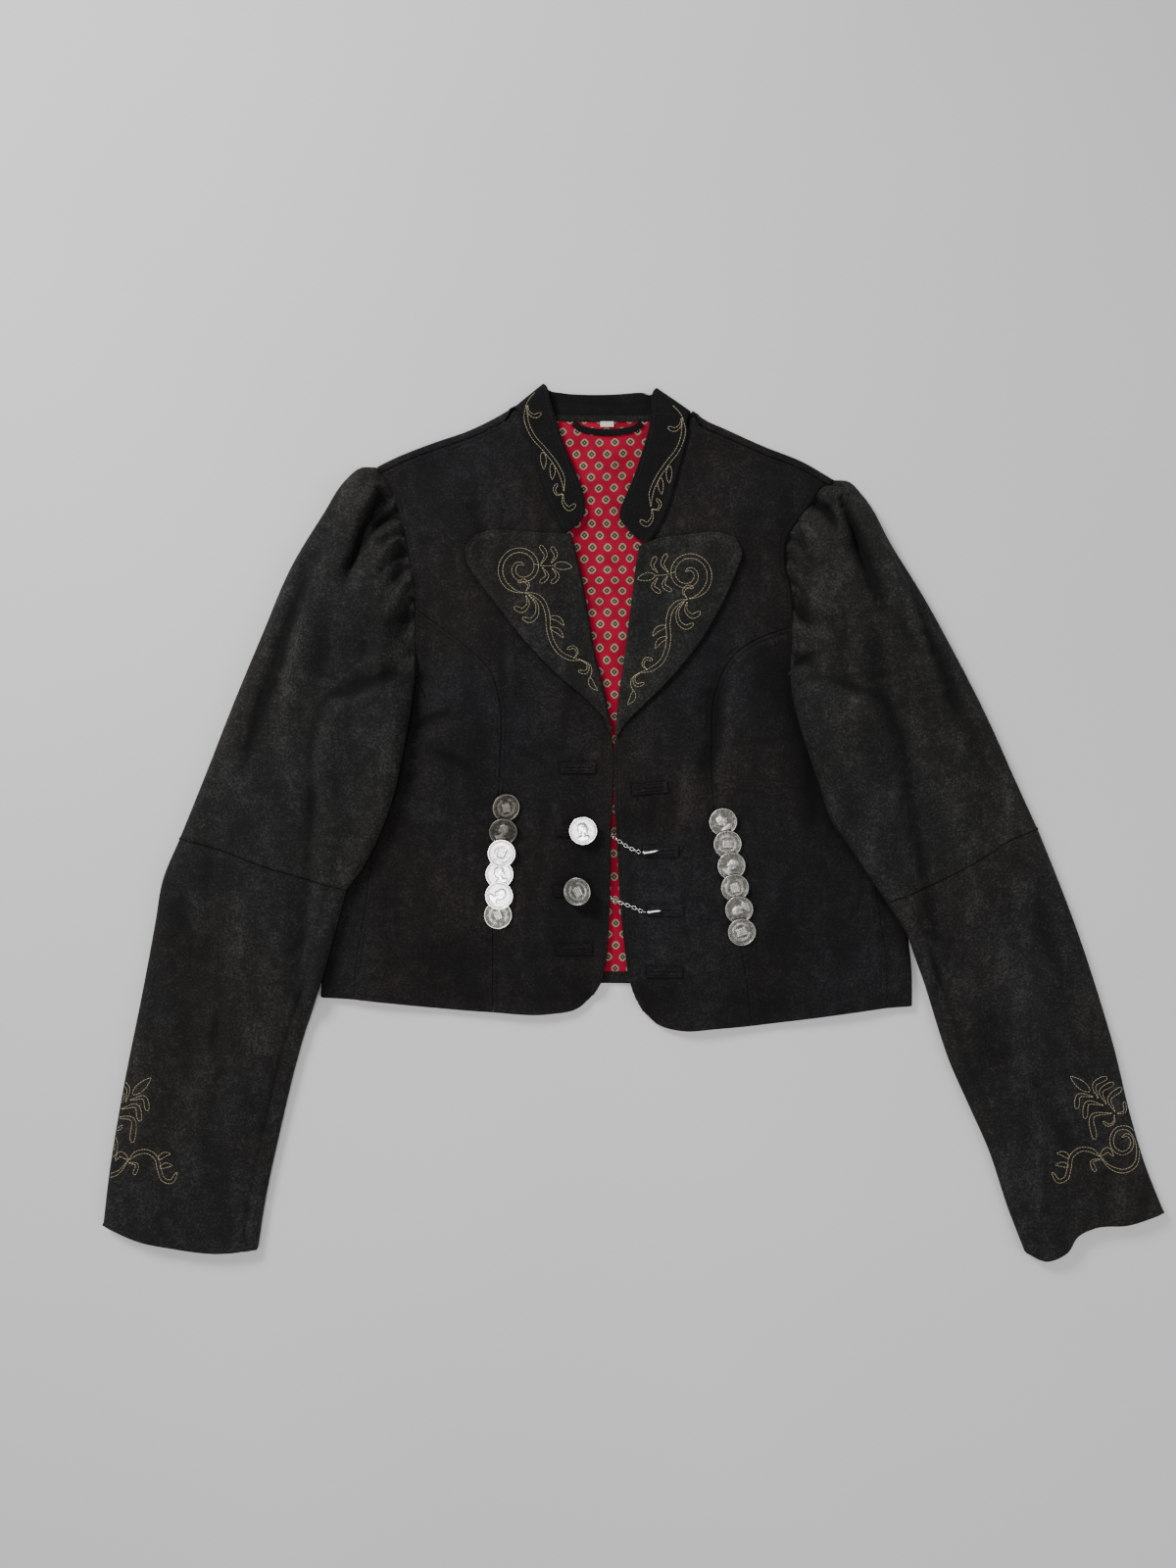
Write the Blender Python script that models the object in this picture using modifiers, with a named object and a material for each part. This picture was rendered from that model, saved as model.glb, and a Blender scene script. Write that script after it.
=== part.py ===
"""Cropped traditional suede jacket, laid flat on its back with the sleeves spread.

X runs across the jacket, +Y runs from hem to collar, +Z is up from the surface it lies on. "Left" is
the -X side. All sizes and places are in millimetres, and MM turns them to metres.
"""

import math

import bpy
import numpy as np

MM = 0.001

# Driving sizes
SUEDE = 1.6                 # wall of every suede panel
FACING = 1.8                # wall of the lapels
COLLAR_WALL = 2.0           # two layers of suede pressed together
LINING = 1.0                # wall of the foulard lining
SEAM = 0.4                  # clear width of a seam between two panels
REST = 0.3                  # clear height between two layers that touch
BACK_WALL = 1.5             # wall of the back panel
COIN_WIDTH = 22.8
COIN_THICK = 1.5
COIN_SIDES = 18
SHANK_WIDTH = 3.2
EDGE_HEIGHT = 6.8           # outer face of the fronts at their edges
FRONT_RISE = 3.0            # how far the fronts stand higher inside their edges
RISE_RUN = 45.0             # distance from the edge over which they rise
BUST_RISE = 4.5
BUST_SPREAD = 46.0
UNDERARM_DROP = 1.8         # how far the sleeve presses the front down at the underarm
UNDERARM_SPREAD = 26.0
HEM_DROP = 3.4              # fall of the fronts where they pass the back's hem
HEM_FALL = (-16.0, 14.0)    # where the fall starts and ends, before and past the back's hem
SIDE_ROLL = 4.5             # rounding of the side edges
SIDE_UNDER = 0.8            # share of the side panel's front width that it has under the body
SHOULDER_WRAP = 7.0         # how far the back comes over the shoulder line
SHOULDER_ROLL = ((17, 3.35), (62, 2.82), (118, 2.82), (163, 3.35), (180, 2.5))    # turn, step
FLAT_STEP = 0.8             # the same steps where the back ends flat at the neck
NECK_POINT_WRAP = 0.25      # how far it is rolled over at the shoulder seam's inner end
LIFT_RUN = 20.0             # distance over which a sleeve climbs onto the body
LIFT_EARLY = 4.0            # how far outside the body it is up
LIFT_REST = 0.8             # clear height between the sleeve and the front below it
LAPEL_REST = 0.7            # clear height under the lapels
SLEEVE_ROLL = (14.0, 10.0, 8.0)        # rounding of the sleeve's edges at armhole, elbow and cuff
FRONT_SEAM_IN = (8.0, 14.0, 12.0)      # the sleeve's front seam, in from its inner edge
CAP_RUN = 30.0              # distance over which the gathered cap swells from the armhole
UNDER_ROLL = 5.0            # rounding of the sleeve's edges below
TIP_RADIUS = 2.6            # tightest bend at the sleeve's edges
SEAM_STEP = 1.2             # width of the lofts' columns next to the sleeve's front seam
CAP_STEP = 7.5              # height that the sleeve needs above the front where it rests on it
MIDDLE = 0.42               # height of the sleeve's edges, as a share of its own
CREST = 0.2                 # share of the sleeve's height that falls away from its middle to its edges
LEANING = 0.85              # share of the climb that the sleeve's top takes over from its underside
CROWD = 1.3                 # how much the upper sleeve's rows crowd toward the armhole
COLUMN_STEP = (8.0, 4.0)    # columns inside the lower sleeve's inner edge, and between it and the seam

# Outlines in plan, as rows of (x, y). Lines that two pieces share are given once.
ARMHOLE_LEFT = [(-210, 290.4), (-198.8, 275.2), (-189.2, 247.2), (-182.8, 221.6), (-178.8, 195.2),
                (-177.2, 159.2), (-178, 119.2)]
ARMHOLE_RIGHT = [(163.6, 280), (153.2, 273.6), (143.6, 260), (132.4, 245.6), (123.6, 229.6),
                 (122.8, 211.2), (127.6, 187.2), (129.2, 159.2), (127.6, 119.2)]
UNDERARM_LEFT = [(-178, 119.2), (-186, 107), (-196, 100), (-210, 95.2)]
UNDERARM_RIGHT = [(127.6, 119.2), (137, 106), (150, 97.5), (167.6, 92.8)]
SIDE_EDGE_LEFT = [(-256.4, -144), (-254, -112.8), (-248.4, -64.8), (-242.8, 15.2), (-240.4, 63.2),
                  (-234, 85.6)]
SIDE_EDGE_RIGHT = [(228.4, -151.2), (227.6, -120.8), (225.2, -96.8), (217.2, -48.8), (205.2, 15.2),
                   (197.2, 63.2), (186.8, 85.6)]
SIDE_SEAM_LEFT = [(-228.4, -145.6), (-226.8, -120.8), (-221.2, -84.8), (-216.4, -52.8), (-212.4, -8.8),
                  (-210, 39.2), (-210, 95.2)]
SIDE_SEAM_RIGHT = [(206.8, -152.8), (206, -112.8), (200.4, -72.8), (194.8, -32.8), (186.8, 15.2),
                   (177.2, 59.2), (167.6, 92.8)]
PRINCESS_LEFT = [(-114.8, -156), (-114.8, -96.8), (-113.2, -48.8), (-110.8, 7.2), (-108.4, 55.2),
                 (-108.4, 95.2), (-117.2, 123.2), (-137.2, 143.2), (-161.2, 161.6), (-177.2, 173.6)]
PRINCESS_RIGHT = [(96.4, -167.2), (93.2, -136.8), (88.4, -108.8), (82.8, -84.8), (73.2, -32.8),
                  (65.2, 15.2), (63.6, 63.2), (66, 103.2), (76.4, 128.8), (94.8, 145.6),
                  (114.8, 154.4), (129.2, 159.2)]
HEM_LEFT = [(-228.4, -145.6), (-197.2, -148.8), (-149.2, -153.6), (-114.8, -156), (-69.2, -157.6),
            (-45.2, -152.8), (-32.4, -141.6)]
HEM_RIGHT = [(206.8, -152.8), (170.8, -157.6), (122.8, -164), (96.4, -167.2), (66.8, -169.6),
             (38.8, -171.2), (20.4, -166.4), (7.6, -155.2)]
EDGE_LEFT = [(-32.4, -141.6), (-26, -130.4), (-22.8, -116.8), (-20.4, -88.8), (-18.8, -48.8),
             (-18, 7.2), (-17.6, 59.2), (-19.6, 75.2), (-26.8, 107.2), (-34, 135.2), (-39.6, 167.2),
             (-45.2, 199.2), (-50.8, 223.2), (-54, 234.4)]
EDGE_RIGHT = [(7.6, -155.2), (0.4, -141.6), (-3.6, -128.8), (-7.6, -100.8), (-10.8, -68.8),
              (-13.6, -16.8), (-15.2, 31.2), (-14.6, 55.2), (-11.6, 79.2), (-8.4, 107.2),
              (-4.4, 135.2), (-0.4, 165.6), (2.8, 191.2), (5.2, 211.2), (7.6, 224)]
NECK_LEFT = [(-54, 234.4), (-63.6, 250.4), (-72.4, 271.2), (-79.6, 295.2), (-86.8, 319.2), (-92, 334)]
NECK_RIGHT = [(7.6, 224), (18, 237.6), (27.6, 259.2), (35.6, 287.2), (42.8, 315.2), (46, 329)]
SHOULDER_LEFT = [(-210, 290.4), (-197.2, 296.8), (-165.2, 309.6), (-133.2, 320.8), (-109.2, 332.8),
                 (-97, 340)]
SHOULDER_RIGHT = [(163.6, 280), (138.8, 294.4), (106.8, 307.2), (74.8, 321.6), (58.8, 328.8),
                  (49, 335.5)]
BACK_NECK = [(-97, 340), (-87, 331.8), (-66, 329.6), (-21, 329.2), (18, 329.6), (38, 330.2), (49, 335.5)]
BACK_HEM = [(-254, -142.4), (-181.2, -136.8), (-101.2, -133.6), (-14.8, -132.8), (74.8, -135.2),
            (162.8, -142.4), (226, -149.6)]

# Lapels: fold line at the neck opening, loose outer edge and top edge, all from the bottom or inside
LAPEL_FOLD_LEFT = [(-17.6, 72), (-23.6, 107.2), (-30.8, 135.2), (-36.4, 167.2), (-42, 199.2),
                   (-47.6, 223.2), (-50.8, 234.8)]
LAPEL_LOOSE_LEFT = [(-19.8, 72.6), (-23.6, 83.2), (-35.6, 96.8), (-57.2, 115.2), (-85.2, 143.2),
                    (-107.6, 171.2), (-125.2, 194.4), (-135.6, 211.2), (-136.6, 223), (-127.6, 233.6)]
LAPEL_TOP_LEFT = [(-50.8, 234.8), (-73.2, 235.2), (-97.2, 236.8), (-117.2, 236.8), (-127.6, 233.6)]
LAPEL_FOLD_RIGHT = [(-15.4, 70), (-11.6, 107.2), (-7.6, 135.2), (-3.6, 165.6), (-0.4, 191.2),
                    (2, 211.2), (4.4, 224.8)]
LAPEL_LOOSE_RIGHT = [(-12.6, 70.6), (-8.4, 77.6), (6.8, 93.6), (30.8, 117.6), (57.2, 151.2),
                     (74.8, 183.2), (84.4, 205.6), (88.2, 219.2), (82, 231.2)]
LAPEL_TOP_RIGHT = [(4.4, 224.8), (18.8, 230.4), (42.8, 233.6), (70.8, 234.8), (82, 231.2)]

# Sleeves: outer and inner edges of the upper and lower stretch, elbow seam and cuff, outer edge first
UPPER_OUTER_LEFT = [(-210, 290.4), (-222.8, 289.6), (-235.6, 278.4), (-252.4, 252), (-279.6, 206.4),
                    (-302.8, 152.8), (-326.8, 96), (-350, 37.6), (-370.8, -13.6)]
UPPER_OUTER_RIGHT = [(163.6, 280), (175.6, 278.4), (187.6, 265.6), (210, 225.6), (240.4, 176),
                     (257.2, 145.6), (287.6, 87.2), (315.6, 25.6), (330, -5.6)]
UPPER_INNER_LEFT = [(-178, 119.2), (-180.4, 95.2), (-186.8, 55.2), (-194.8, 19.2), (-205.2, -8.8),
                    (-219.6, -36.8), (-233.2, -55.2)]
UPPER_INNER_RIGHT = [(127.6, 119.2), (129.2, 99.2), (137.2, 67.2), (148.4, 35.2), (158.8, 3.2),
                     (178.8, -26.4), (205.2, -65.6)]
ELBOW_LEFT = [(-370.8, -13.6), (-337.2, -22.4), (-301.2, -36), (-269.2, -45.6), (-233.2, -55.2)]
ELBOW_RIGHT = [(330, -5.6), (306.8, -14.4), (285.5, -28), (242.8, -50.4), (205.2, -65.6)]
LOWER_OUTER_LEFT = [(-370.8, -13.6), (-385.2, -48.8), (-390.8, -80.8), (-401.2, -136.8),
                    (-417.2, -216.8), (-429.2, -288.8), (-434, -329.6)]
LOWER_OUTER_RIGHT = [(330, -5.6), (344.4, -40.8), (362.8, -88.8), (378.8, -136.8), (393.2, -184.8),
                     (406.8, -240.8), (418.8, -280.8), (434, -319.2)]
LOWER_INNER_LEFT = [(-233.2, -55.2), (-241.2, -84.8), (-256.4, -138.4), (-267.6, -168.8),
                    (-277.2, -202.4), (-289.2, -252.8), (-301.2, -308.8), (-307.6, -349.6)]
LOWER_INNER_RIGHT = [(205.2, -65.6), (220.4, -88.8), (230.8, -116.8), (242.8, -148.8),
                     (258.8, -196.8), (274.8, -232.8), (290.8, -268.8), (306.8, -316.8),
                     (320.4, -352)]
CUFF_LEFT = [(-434, -329.6), (-405.2, -341.6), (-373.2, -348), (-341.2, -352), (-307.6, -349.6)]
CUFF_RIGHT = [(434, -319.2), (402.8, -328.8), (374.8, -331.2), (362, -337.6), (353.2, -351.2),
              (335.6, -358.4), (320.4, -352)]

# Height of the sleeve's tube: rows of (share of the stretch, height)
UPPER_HEIGHT = [(0, 16), (0.14, 21), (0.3, 23.5), (0.55, 20), (0.8, 16.5), (1, 15)]
LOWER_HEIGHT = [(0, 15), (0.3, 13), (0.6, 12), (1, 11)]

# Folds: rows of (start x, start y, middle x, middle y, end x, end y, height, half width)
BODY_FOLDS = [
    (-105, 170, -101, 130, -100, 80, 1.6, 11),
    (-150, 120, -158, 60, -156, -30, 1.4, 16),
    (-66, 60, -62, -10, -66, -90, 1.2, 14),
    (63, 112, 60, 60, 58, 10, -1.6, 10),
    (42, 66, 50, 5, 54, -60, 1.6, 11),
    (112, 70, 122, -10, 128, -100, 1.4, 18),
    (-150, 285, -142, 250, -128, 225, 1.2, 12),
    (100, 285, 92, 262, 84, 242, 1.2, 11),
]
HEM_WAVES = [(-205, 1.0, 26), (-150, -0.9, 22), (-92, 1.2, 24), (58, 1.2, 22), (112, -0.9, 20),
             (165, 1.1, 26)]   # rows of (x, height, half width)
SLEEVE_FOLDS_LEFT = [
    (-215, 287, -253, 191, -289, 47, 3.6, 13),
    (-238, 268, -256, 211, -275, 143, -2.6, 9),
    (-210, 274, -229, 235, -236, 191, -4.6, 8),
    (-196, 257, -214, 246, -222, 235, -2.6, 6),
    (-189, 240, -199, 238, -207, 226, 2.4, 6),
    (-184, 224, -190, 212, -193, 190, -2.6, 6),
    (-179, 206, -184, 190, -186, 165, 2.2, 7),
    (-178, 172, -188, 160, -196, 140, -2.0, 7),
    (-180, 132, -205, 128, -228, 110, 2.0, 11),
    (-246, 120, -262, 60, -292, 0, 2.2, 15),
    (-320, 60, -322, 10, -334, -30, 1.8, 13),
    (-232, 20, -262, -20, -282, -38, 1.8, 12),
]
SLEEVE_FOLDS_RIGHT = [
    (168, 278, 204, 223, 242, 140, 3.4, 12),
    (242, 140, 262, 84, 290, 10, 2.8, 14),
    (174, 264, 186, 215, 204, 158, -4.4, 8),
    (147, 264, 158, 250, 166, 234, -3.0, 6),
    (158, 272, 174, 250, 182, 226, 2.4, 7),
    (134, 246, 146, 234, 152, 214, 2.6, 7),
    (125, 222, 140, 212, 148, 194, -2.6, 7),
    (126, 198, 132, 180, 148, 152, -3.4, 7),
    (128, 160, 144, 156, 160, 140, 2.2, 8),
    (128, 128, 142, 132, 154, 142, -1.8, 6),
    (196, 120, 214, 60, 232, 0, 2.0, 15),
    (160, 60, 192, 20, 214, -24, 1.8, 13),
]
LOWER_FOLDS_LEFT = [
    (-372, -20, -352, -60, -345, -110, 2.2, 12),
    (-300, -38, -315, -80, -318, -130, 1.8, 13),
    (-392, -150, -372, -190, -366, -240, 1.4, 13),
    (-300, -160, -322, -220, -338, -290, 1.6, 14),
    (-398, -290, -392, -320, -388, -345, 1.4, 10),
]
LOWER_FOLDS_RIGHT = [
    (332, -12, 318, -50, 312, -100, 2.0, 12),
    (262, -46, 282, -90, 296, -140, 1.8, 13),
    (372, -130, 356, -170, 352, -220, 1.4, 13),
    (300, -190, 326, -240, 350, -290, 1.6, 14),
    (400, -270, 398, -300, 402, -330, 1.4, 10),
]
LINING_EASE = (-92, 306, -22, 309, 44, 305, 1.5, 4.2)    # crosswise ease fold below the back neck

# Collar from the left front end, round the back, to the right front end:
# rows of (base x, base y, middle height at the base, loose edge x, y, middle height there)
COLLAR_LEFT = [
    (-53.6, 236.6, 7.4, -45.5, 242.5, 7.2), (-56.5, 240.6, 7.6, -41.2, 249, 7.2),
    (-62.4, 251.2, 7.8, -39.8, 260, 7.2), (-67.2, 262, 7.9, -41.8, 270, 7.3),
    (-71.4, 272, 8.0, -45.6, 281, 7.4), (-75.2, 284, 8.0, -50.4, 292, 7.5),
    (-78.8, 296, 8.0, -55, 303, 7.6), (-82.4, 308, 8.0, -59, 314.5, 7.7),
    (-86.2, 320.4, 7.9, -62.6, 327, 7.8), (-90.4, 332.5, 7.8, -67.4, 342, 7.8)]
COLLAR_FOLD_LEFT = (-92.6, 337.6, -71, 355.4)      # centre of the left half turn, base then loose edge
COLLAR_BACK = [
    (-79, 334.6, 1.6, -57.6, 351.6, 1.6), (-62, 331.6, 1.5, -42, 350.4, 1.6),
    (-40, 330.9, 1.5, -27, 350.2, 1.6), (-18, 330.8, 1.5, -14, 350.6, 1.6),
    (4, 331.2, 1.5, -3, 351.4, 1.6), (24, 331.9, 1.6, 6, 352, 1.6)]
COLLAR_FOLD_RIGHT = (42.4, 333.4, 16.2, 351.6)
COLLAR_RIGHT = [
    (41.4, 316, 7.8, 14, 331, 7.8), (37.8, 301, 8.0, 10.6, 314, 7.8),
    (34.2, 287.4, 8.0, 7, 302, 7.7), (30.2, 273.4, 8.0, 3, 289.6, 7.6),
    (26.4, 260.2, 7.9, -1.8, 277, 7.4), (21.8, 248.4, 7.8, -6.6, 266, 7.3),
    (16.4, 238.6, 7.7, -10.6, 255.6, 7.2), (11.4, 231.6, 7.5, -11, 247.4, 7.2),
    (7.4, 227.6, 7.4, -3, 236.4, 7.2)]
COLLAR_TURN = 3.1                                    # half height of its two half turns

# Lining's outline in plan, bottom edge, two sides and the top along the neck
LINING_BOTTOM = [(-206, -127), (-100, -124), (-15, -123), (75, -125.5), (180, -134)]
LINING_LEFT = [(-206, -127), (-203, 0), (-203, 70), (-172, 122), (-171, 195), (-192, 268)]
LINING_RIGHT = [(180, -134), (176, 0), (162, 70), (121, 122), (117, 215), (147, 258)]
LINING_TOP = [(-192, 268), (-150, 296), (-104, 318), (-82, 327), (-60, 328.6), (-21, 328.6),
              (12, 328.6), (34, 326.4), (56, 315), (100, 292), (147, 258)]
HEM_FACING_WIDTH = 8.6

# Coins: rows of (x, y, rise toward +Y, rise toward +X, height of what the shank stands on, how far a
# coin underneath holds the disc up), rises as slopes
COINS_LEFT = [
    (-103.6, 11.6, 0.2, -0.35, 0.0, 0.0), (-106, -8.0, 0.29, -0.1, 0.0, 0.0),
    (-107.2, -25.4, 0.14, 0.0, 0.0, 2.0), (-109.2, -42.6, 0.0, 0.0, 0.0, 0.0),
    (-109.4, -59.8, 0.0, 0.0, 0.0, 2.0), (-110.4, -75.8, 0.0, 0.0, 0.0, 0.0)]
COINS_RIGHT = [
    (72.4, 0, 0.13, 0.0, 0.0, 0.0), (76, -18, 0.13, 0.0, 0.0, 0.0), (79.2, -35.6, 0.13, 0.0, 0.0, 0.0),
    (82, -53.4, 0.13, 0.0, 0.0, 0.0), (85.4, -71.2, 0.13, 0.0, 0.0, 0.0),
    (87.6, -89.4, 0.13, 0.0, 0.0, 0.0)]
BUTTONS = {"button_upper": (-41.2, -7.2, 0.0, 0.02, 1.4, 0.0),
           "button_lower": (-46, -56.2, 0.05, 0.3, 1.4, 0.0)}

# Buttonholes: rows of (x, y, turn in degrees)
HOLES_LEFT = [(-45.5, 44, 0), (-48.4, -7.2, 0), (-50.5, -56, 0), (-48.4, -104, 0)]
HOLES_RIGHT = [(13.2, 27.2, 5), (22, -24, 1), (26, -72, 0), (25.2, -122.4, 0)]
HOLE_LENGTH = 29.0
HOLE_WIDTH = 9.0
HOLE_WALL = 0.8
HOLE_REST = 0.5

# Chains: rows of (x, y, share of the climb from the lining onto the right front, 2 on its buttonhole)
CHAIN_UPPER = [(-20.6, -10.6, 0), (-19, -11, 0), (-17.4, -11.9, 0.06), (-16, -12.9, 0.6),
               (-14.5, -14, 1.1), (-9.2, -17.6, 1.06), (-3, -21.4, 1.08), (3, -24, 1.3),
               (6.4, -25, 2), (14, -24.4, 2), (19.6, -23.2, 2)]
CHAIN_LOWER = [(-21.4, -61.6, 0), (-19.4, -62.2, 0), (-17.6, -63, 0.1), (-15, -64.2, 0.5),
               (-12, -65.6, 1.06), (-6, -67.6, 1.06), (1.2, -70.4, 1.08), (7, -73, 1.3),
               (10.4, -73.6, 2), (16, -72.8, 2), (22, -72, 2)]
CHAIN_WIDTH = 3.2
CHAIN_THICK = 1.4

LOOP = [(-49, 326.4, 0), (-44, 322.6, 0), (-32, 319.4, 0), (-21, 318.6, 0), (-10, 319.4, 0),
        (2, 322.6, 0), (7, 326.4, 0)]
LOOP_WIDTH = 5.4
LOOP_THICK = 1.4
LABEL = (-21.6, 325.4, 11.0, 4.6, 0.6)             # centre x, y, length, width, thickness

# Rows and columns of the lofts
ROLL = (0.0, 22.0, 52.0, 90.0)                       # degrees round a sleeve's rolled edge
UNDER_TURNS = (0.0, 25.0, 55.0, 90.0)                # the same round its edge below
UNDER_SHORT = 3.6                                    # how far the upper sleeve's underside ends short
UPRIGHT = 30.0                                       # up to here the edge stands straight
SHOULDER_COLUMNS = np.array([0, 0.2, 0.4, 0.6, 0.8, 0.94, 1.0])
NECK_COLUMNS = np.array([0.09, 0.36, 0.64, 0.91])
BACK_ROWS = np.array([0, 0.2, 0.4, 0.6, 0.8, 1, 1.5, 2, 2.14, 2.28, 2.42, 2.56, 2.7, 2.82, 2.91])
PRINCESS_ROWS = np.array([0, 0.13, 0.26, 0.38, 0.49, 0.58, 0.66, 0.72, 0.78, 0.84, 0.89, 0.94, 1.0])

COLOURS = {
    "suede_body": ((0.020, 0.016, 0.014), 0.9, 0.0),
    "suede_green": ((0.016, 0.017, 0.014), 0.9, 0.0),
    "suede_brown": ((0.024, 0.017, 0.014), 0.9, 0.0),
    "suede_collar": ((0.014, 0.016, 0.020), 0.9, 0.0),
    "foulard_lining": ((0.33, 0.025, 0.03), 0.6, 0.0),
    "coin_metal": ((0.42, 0.40, 0.36), 0.35, 1.0),
    "chain_metal": ((0.60, 0.60, 0.60), 0.25, 1.0),
    "label_cloth": ((0.60, 0.60, 0.58), 0.8, 0.0),
}


# Lines and patches in plan

def smooth_line(table, steps=240):
    """Dense line through a table's points: between neighbours a cubic, whose slope at each point is
    that of the run over the point's two neighbours."""
    p = np.array(table, float)
    run = np.concatenate([[0.0], np.cumsum(np.linalg.norm(np.diff(p, axis=0), axis=1))])
    slope = np.gradient(p, run, axis=0)
    at = np.linspace(0.0, run[-1], steps)
    k = np.clip(np.searchsorted(run, at, side="right") - 1, 0, len(run) - 2)
    span = (run[k + 1] - run[k])[:, None]
    f = (at - run[k])[:, None] / span
    return ((1 + 2 * f) * (1 - f) ** 2 * p[k] + f * (1 - f) ** 2 * span * slope[k]
            + f * f * (3 - 2 * f) * p[k + 1] + f * f * (f - 1) * span * slope[k + 1])


def chain_lines(*tables):
    """One line through several tables, smooth along each and with a corner where two meet."""
    return np.vstack([smooth_line(t) for t in tables])


def along(line, share):
    """Points at the given shares of a line's length."""
    run = np.concatenate([[0.0], np.cumsum(np.linalg.norm(np.diff(line, axis=0), axis=1))])
    run /= run[-1]
    return np.stack([np.interp(share, run, line[:, i]) for i in range(line.shape[1])], axis=-1)


def length(line):
    return np.linalg.norm(np.diff(line, axis=0), axis=1).sum()


def trimmed(bottom, top, left, right):
    """Four sides of a patch, cut where they come nearest each other so that they share corners."""
    def cut(a, a_end, b, b_end):
        away = np.linalg.norm(a[:, None] - b[None], axis=2)
        i, j = np.unravel_index(away.argmin(), away.shape)
        a = a[:i + 1].copy() if a_end else a[i:].copy()
        b = b[:j + 1].copy() if b_end else b[j:].copy()
        a[-1 if a_end else 0] = b[-1 if b_end else 0]
        return a, b

    bottom, left = cut(bottom, False, left, False)
    bottom, right = cut(bottom, True, right, False)
    top, left = cut(top, False, left, True)
    top, right = cut(top, True, right, True)
    return bottom, top, left, right


def patch(bottom, top, left, right, u, v, v_right=None, weight=None):
    """Plan points of a four-sided patch: straight rows from side to side, bent like the bottom and
    the top by weights that sum to one. The right side may have its own shares, where a corner lies
    elsewhere on it."""
    u, v = np.broadcast_arrays(u, v)
    v_right = v if v_right is None else np.broadcast_to(v_right, v.shape)
    weight = v if weight is None else np.broadcast_to(weight, v.shape)
    low, high, west, east = along(bottom, u), along(top, u), along(left, v), along(right, v_right)
    u, weight = u[..., None], weight[..., None]
    bend_low = low - (1 - u) * bottom[0] - u * bottom[-1]
    bend_high = high - (1 - u) * top[0] - u * top[-1]
    return (1 - u) * west + u * east + (1 - weight) * bend_low + weight * bend_high


def distance(x, y, line):
    """Distance from each point to a dense line, positive on the line's left-hand side."""
    a, b = line[:-1], line[1:]
    step = b - a
    size = np.maximum((step ** 2).sum(1), 1e-9)
    px, py = x[..., None] - a[:, 0], y[..., None] - a[:, 1]
    share = np.clip((px * step[:, 0] + py * step[:, 1]) / size, 0, 1)
    ox, oy = px - share * step[:, 0], py - share * step[:, 1]
    away = np.hypot(ox, oy)
    near = away.argmin(-1)[..., None]
    side = np.take_along_axis(step[:, 0] * oy - step[:, 1] * ox, near, -1)[..., 0]
    return np.take_along_axis(away, near, -1)[..., 0] * np.where(side < 0, -1.0, 1.0)


def ease(share):
    """Smooth step from 0 to 1."""
    share = np.clip(share, 0.0, 1.0)
    return share * share * (3 - 2 * share)


def folds(x, y, table):
    """Sum of soft ridges and troughs: each is a bell across its line and fades out at both ends."""
    total = np.zeros(np.shape(x))
    for x0, y0, x1, y1, x2, y2, height, half in table:
        line = smooth_line([(x0, y0), (x1, y1), (x2, y2)], 14)
        away = np.hypot(x[..., None] - line[:, 0], y[..., None] - line[:, 1])
        near = away.argmin(-1)
        share = near / (len(line) - 1)
        fade = ease(share / 0.18 + 0.35) * ease((1 - share) / 0.4)
        total = total + height * fade * np.exp(-(np.abs(distance(x, y, line)) / half) ** 2)
    return total


# Heights

RIM_LEFT = chain_lines(SIDE_EDGE_LEFT, [SIDE_EDGE_LEFT[-1], UNDERARM_LEFT[-1]], UNDERARM_LEFT[::-1])
RIM_RIGHT = chain_lines(SIDE_EDGE_RIGHT, [SIDE_EDGE_RIGHT[-1], UNDERARM_RIGHT[-1]], UNDERARM_RIGHT[::-1])
OUTLINE_LEFT = np.vstack([RIM_LEFT, chain_lines(ARMHOLE_LEFT[::-1], SHOULDER_LEFT, NECK_LEFT[::-1],
                                                EDGE_LEFT[::-1])])
OUTLINE_RIGHT = np.vstack([RIM_RIGHT, chain_lines(ARMHOLE_RIGHT[::-1], SHOULDER_RIGHT,
                                                  NECK_RIGHT[::-1], EDGE_RIGHT[::-1])])
BUSTS = ((-114.0, 108.0), (82.0, 106.0))


def front_height(x, y):
    """Outer face of the fronts: low along every edge, risen inside, with the bust, soft folds, and a
    waved fall at the hem where the fronts pass the back."""
    middle = -16.5
    depth = np.where(x < middle, np.abs(distance(x, y, OUTLINE_LEFT)),
                     np.abs(distance(x, y, OUTLINE_RIGHT)))
    inside = ease(depth / RISE_RUN)
    z = EDGE_HEIGHT + FRONT_RISE * inside
    for bx, by in BUSTS:
        z = z + BUST_RISE * np.exp(-((x - bx) ** 2 + (y - by) ** 2) / BUST_SPREAD ** 2) * inside
    z = z + folds(x, y, BODY_FOLDS) * inside
    for px, py in (ARMHOLE_LEFT[-1], ARMHOLE_RIGHT[-1]):
        z = z - UNDERARM_DROP * np.exp(-((x - px) ** 2 + (y - py) ** 2) / UNDERARM_SPREAD ** 2)
    hem = smooth_line(BACK_HEM)
    past = np.interp(x, hem[:, 0], hem[:, 1]) - y
    fall = ease((past - HEM_FALL[0]) / (HEM_FALL[1] - HEM_FALL[0]))
    wave = sum(h * np.exp(-((x - wx) / half) ** 2) for wx, h, half in HEM_WAVES)
    return z - fall * HEM_DROP * ease(depth / 12.0 + 0.2) + wave * ease((past + 60) / 70) * inside


def lift(x, y, rim, inward):
    """Height that the sleeve's underside keeps above the surface: over the body it lies on the front,
    and it comes down to the surface beyond the body's side."""
    depth = distance(x, y, rim) * inward
    return (front_height(x, y) + LIFT_REST) * ease((depth + LIFT_RUN) / (LIFT_RUN - LIFT_EARLY))


# Meshes

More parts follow.
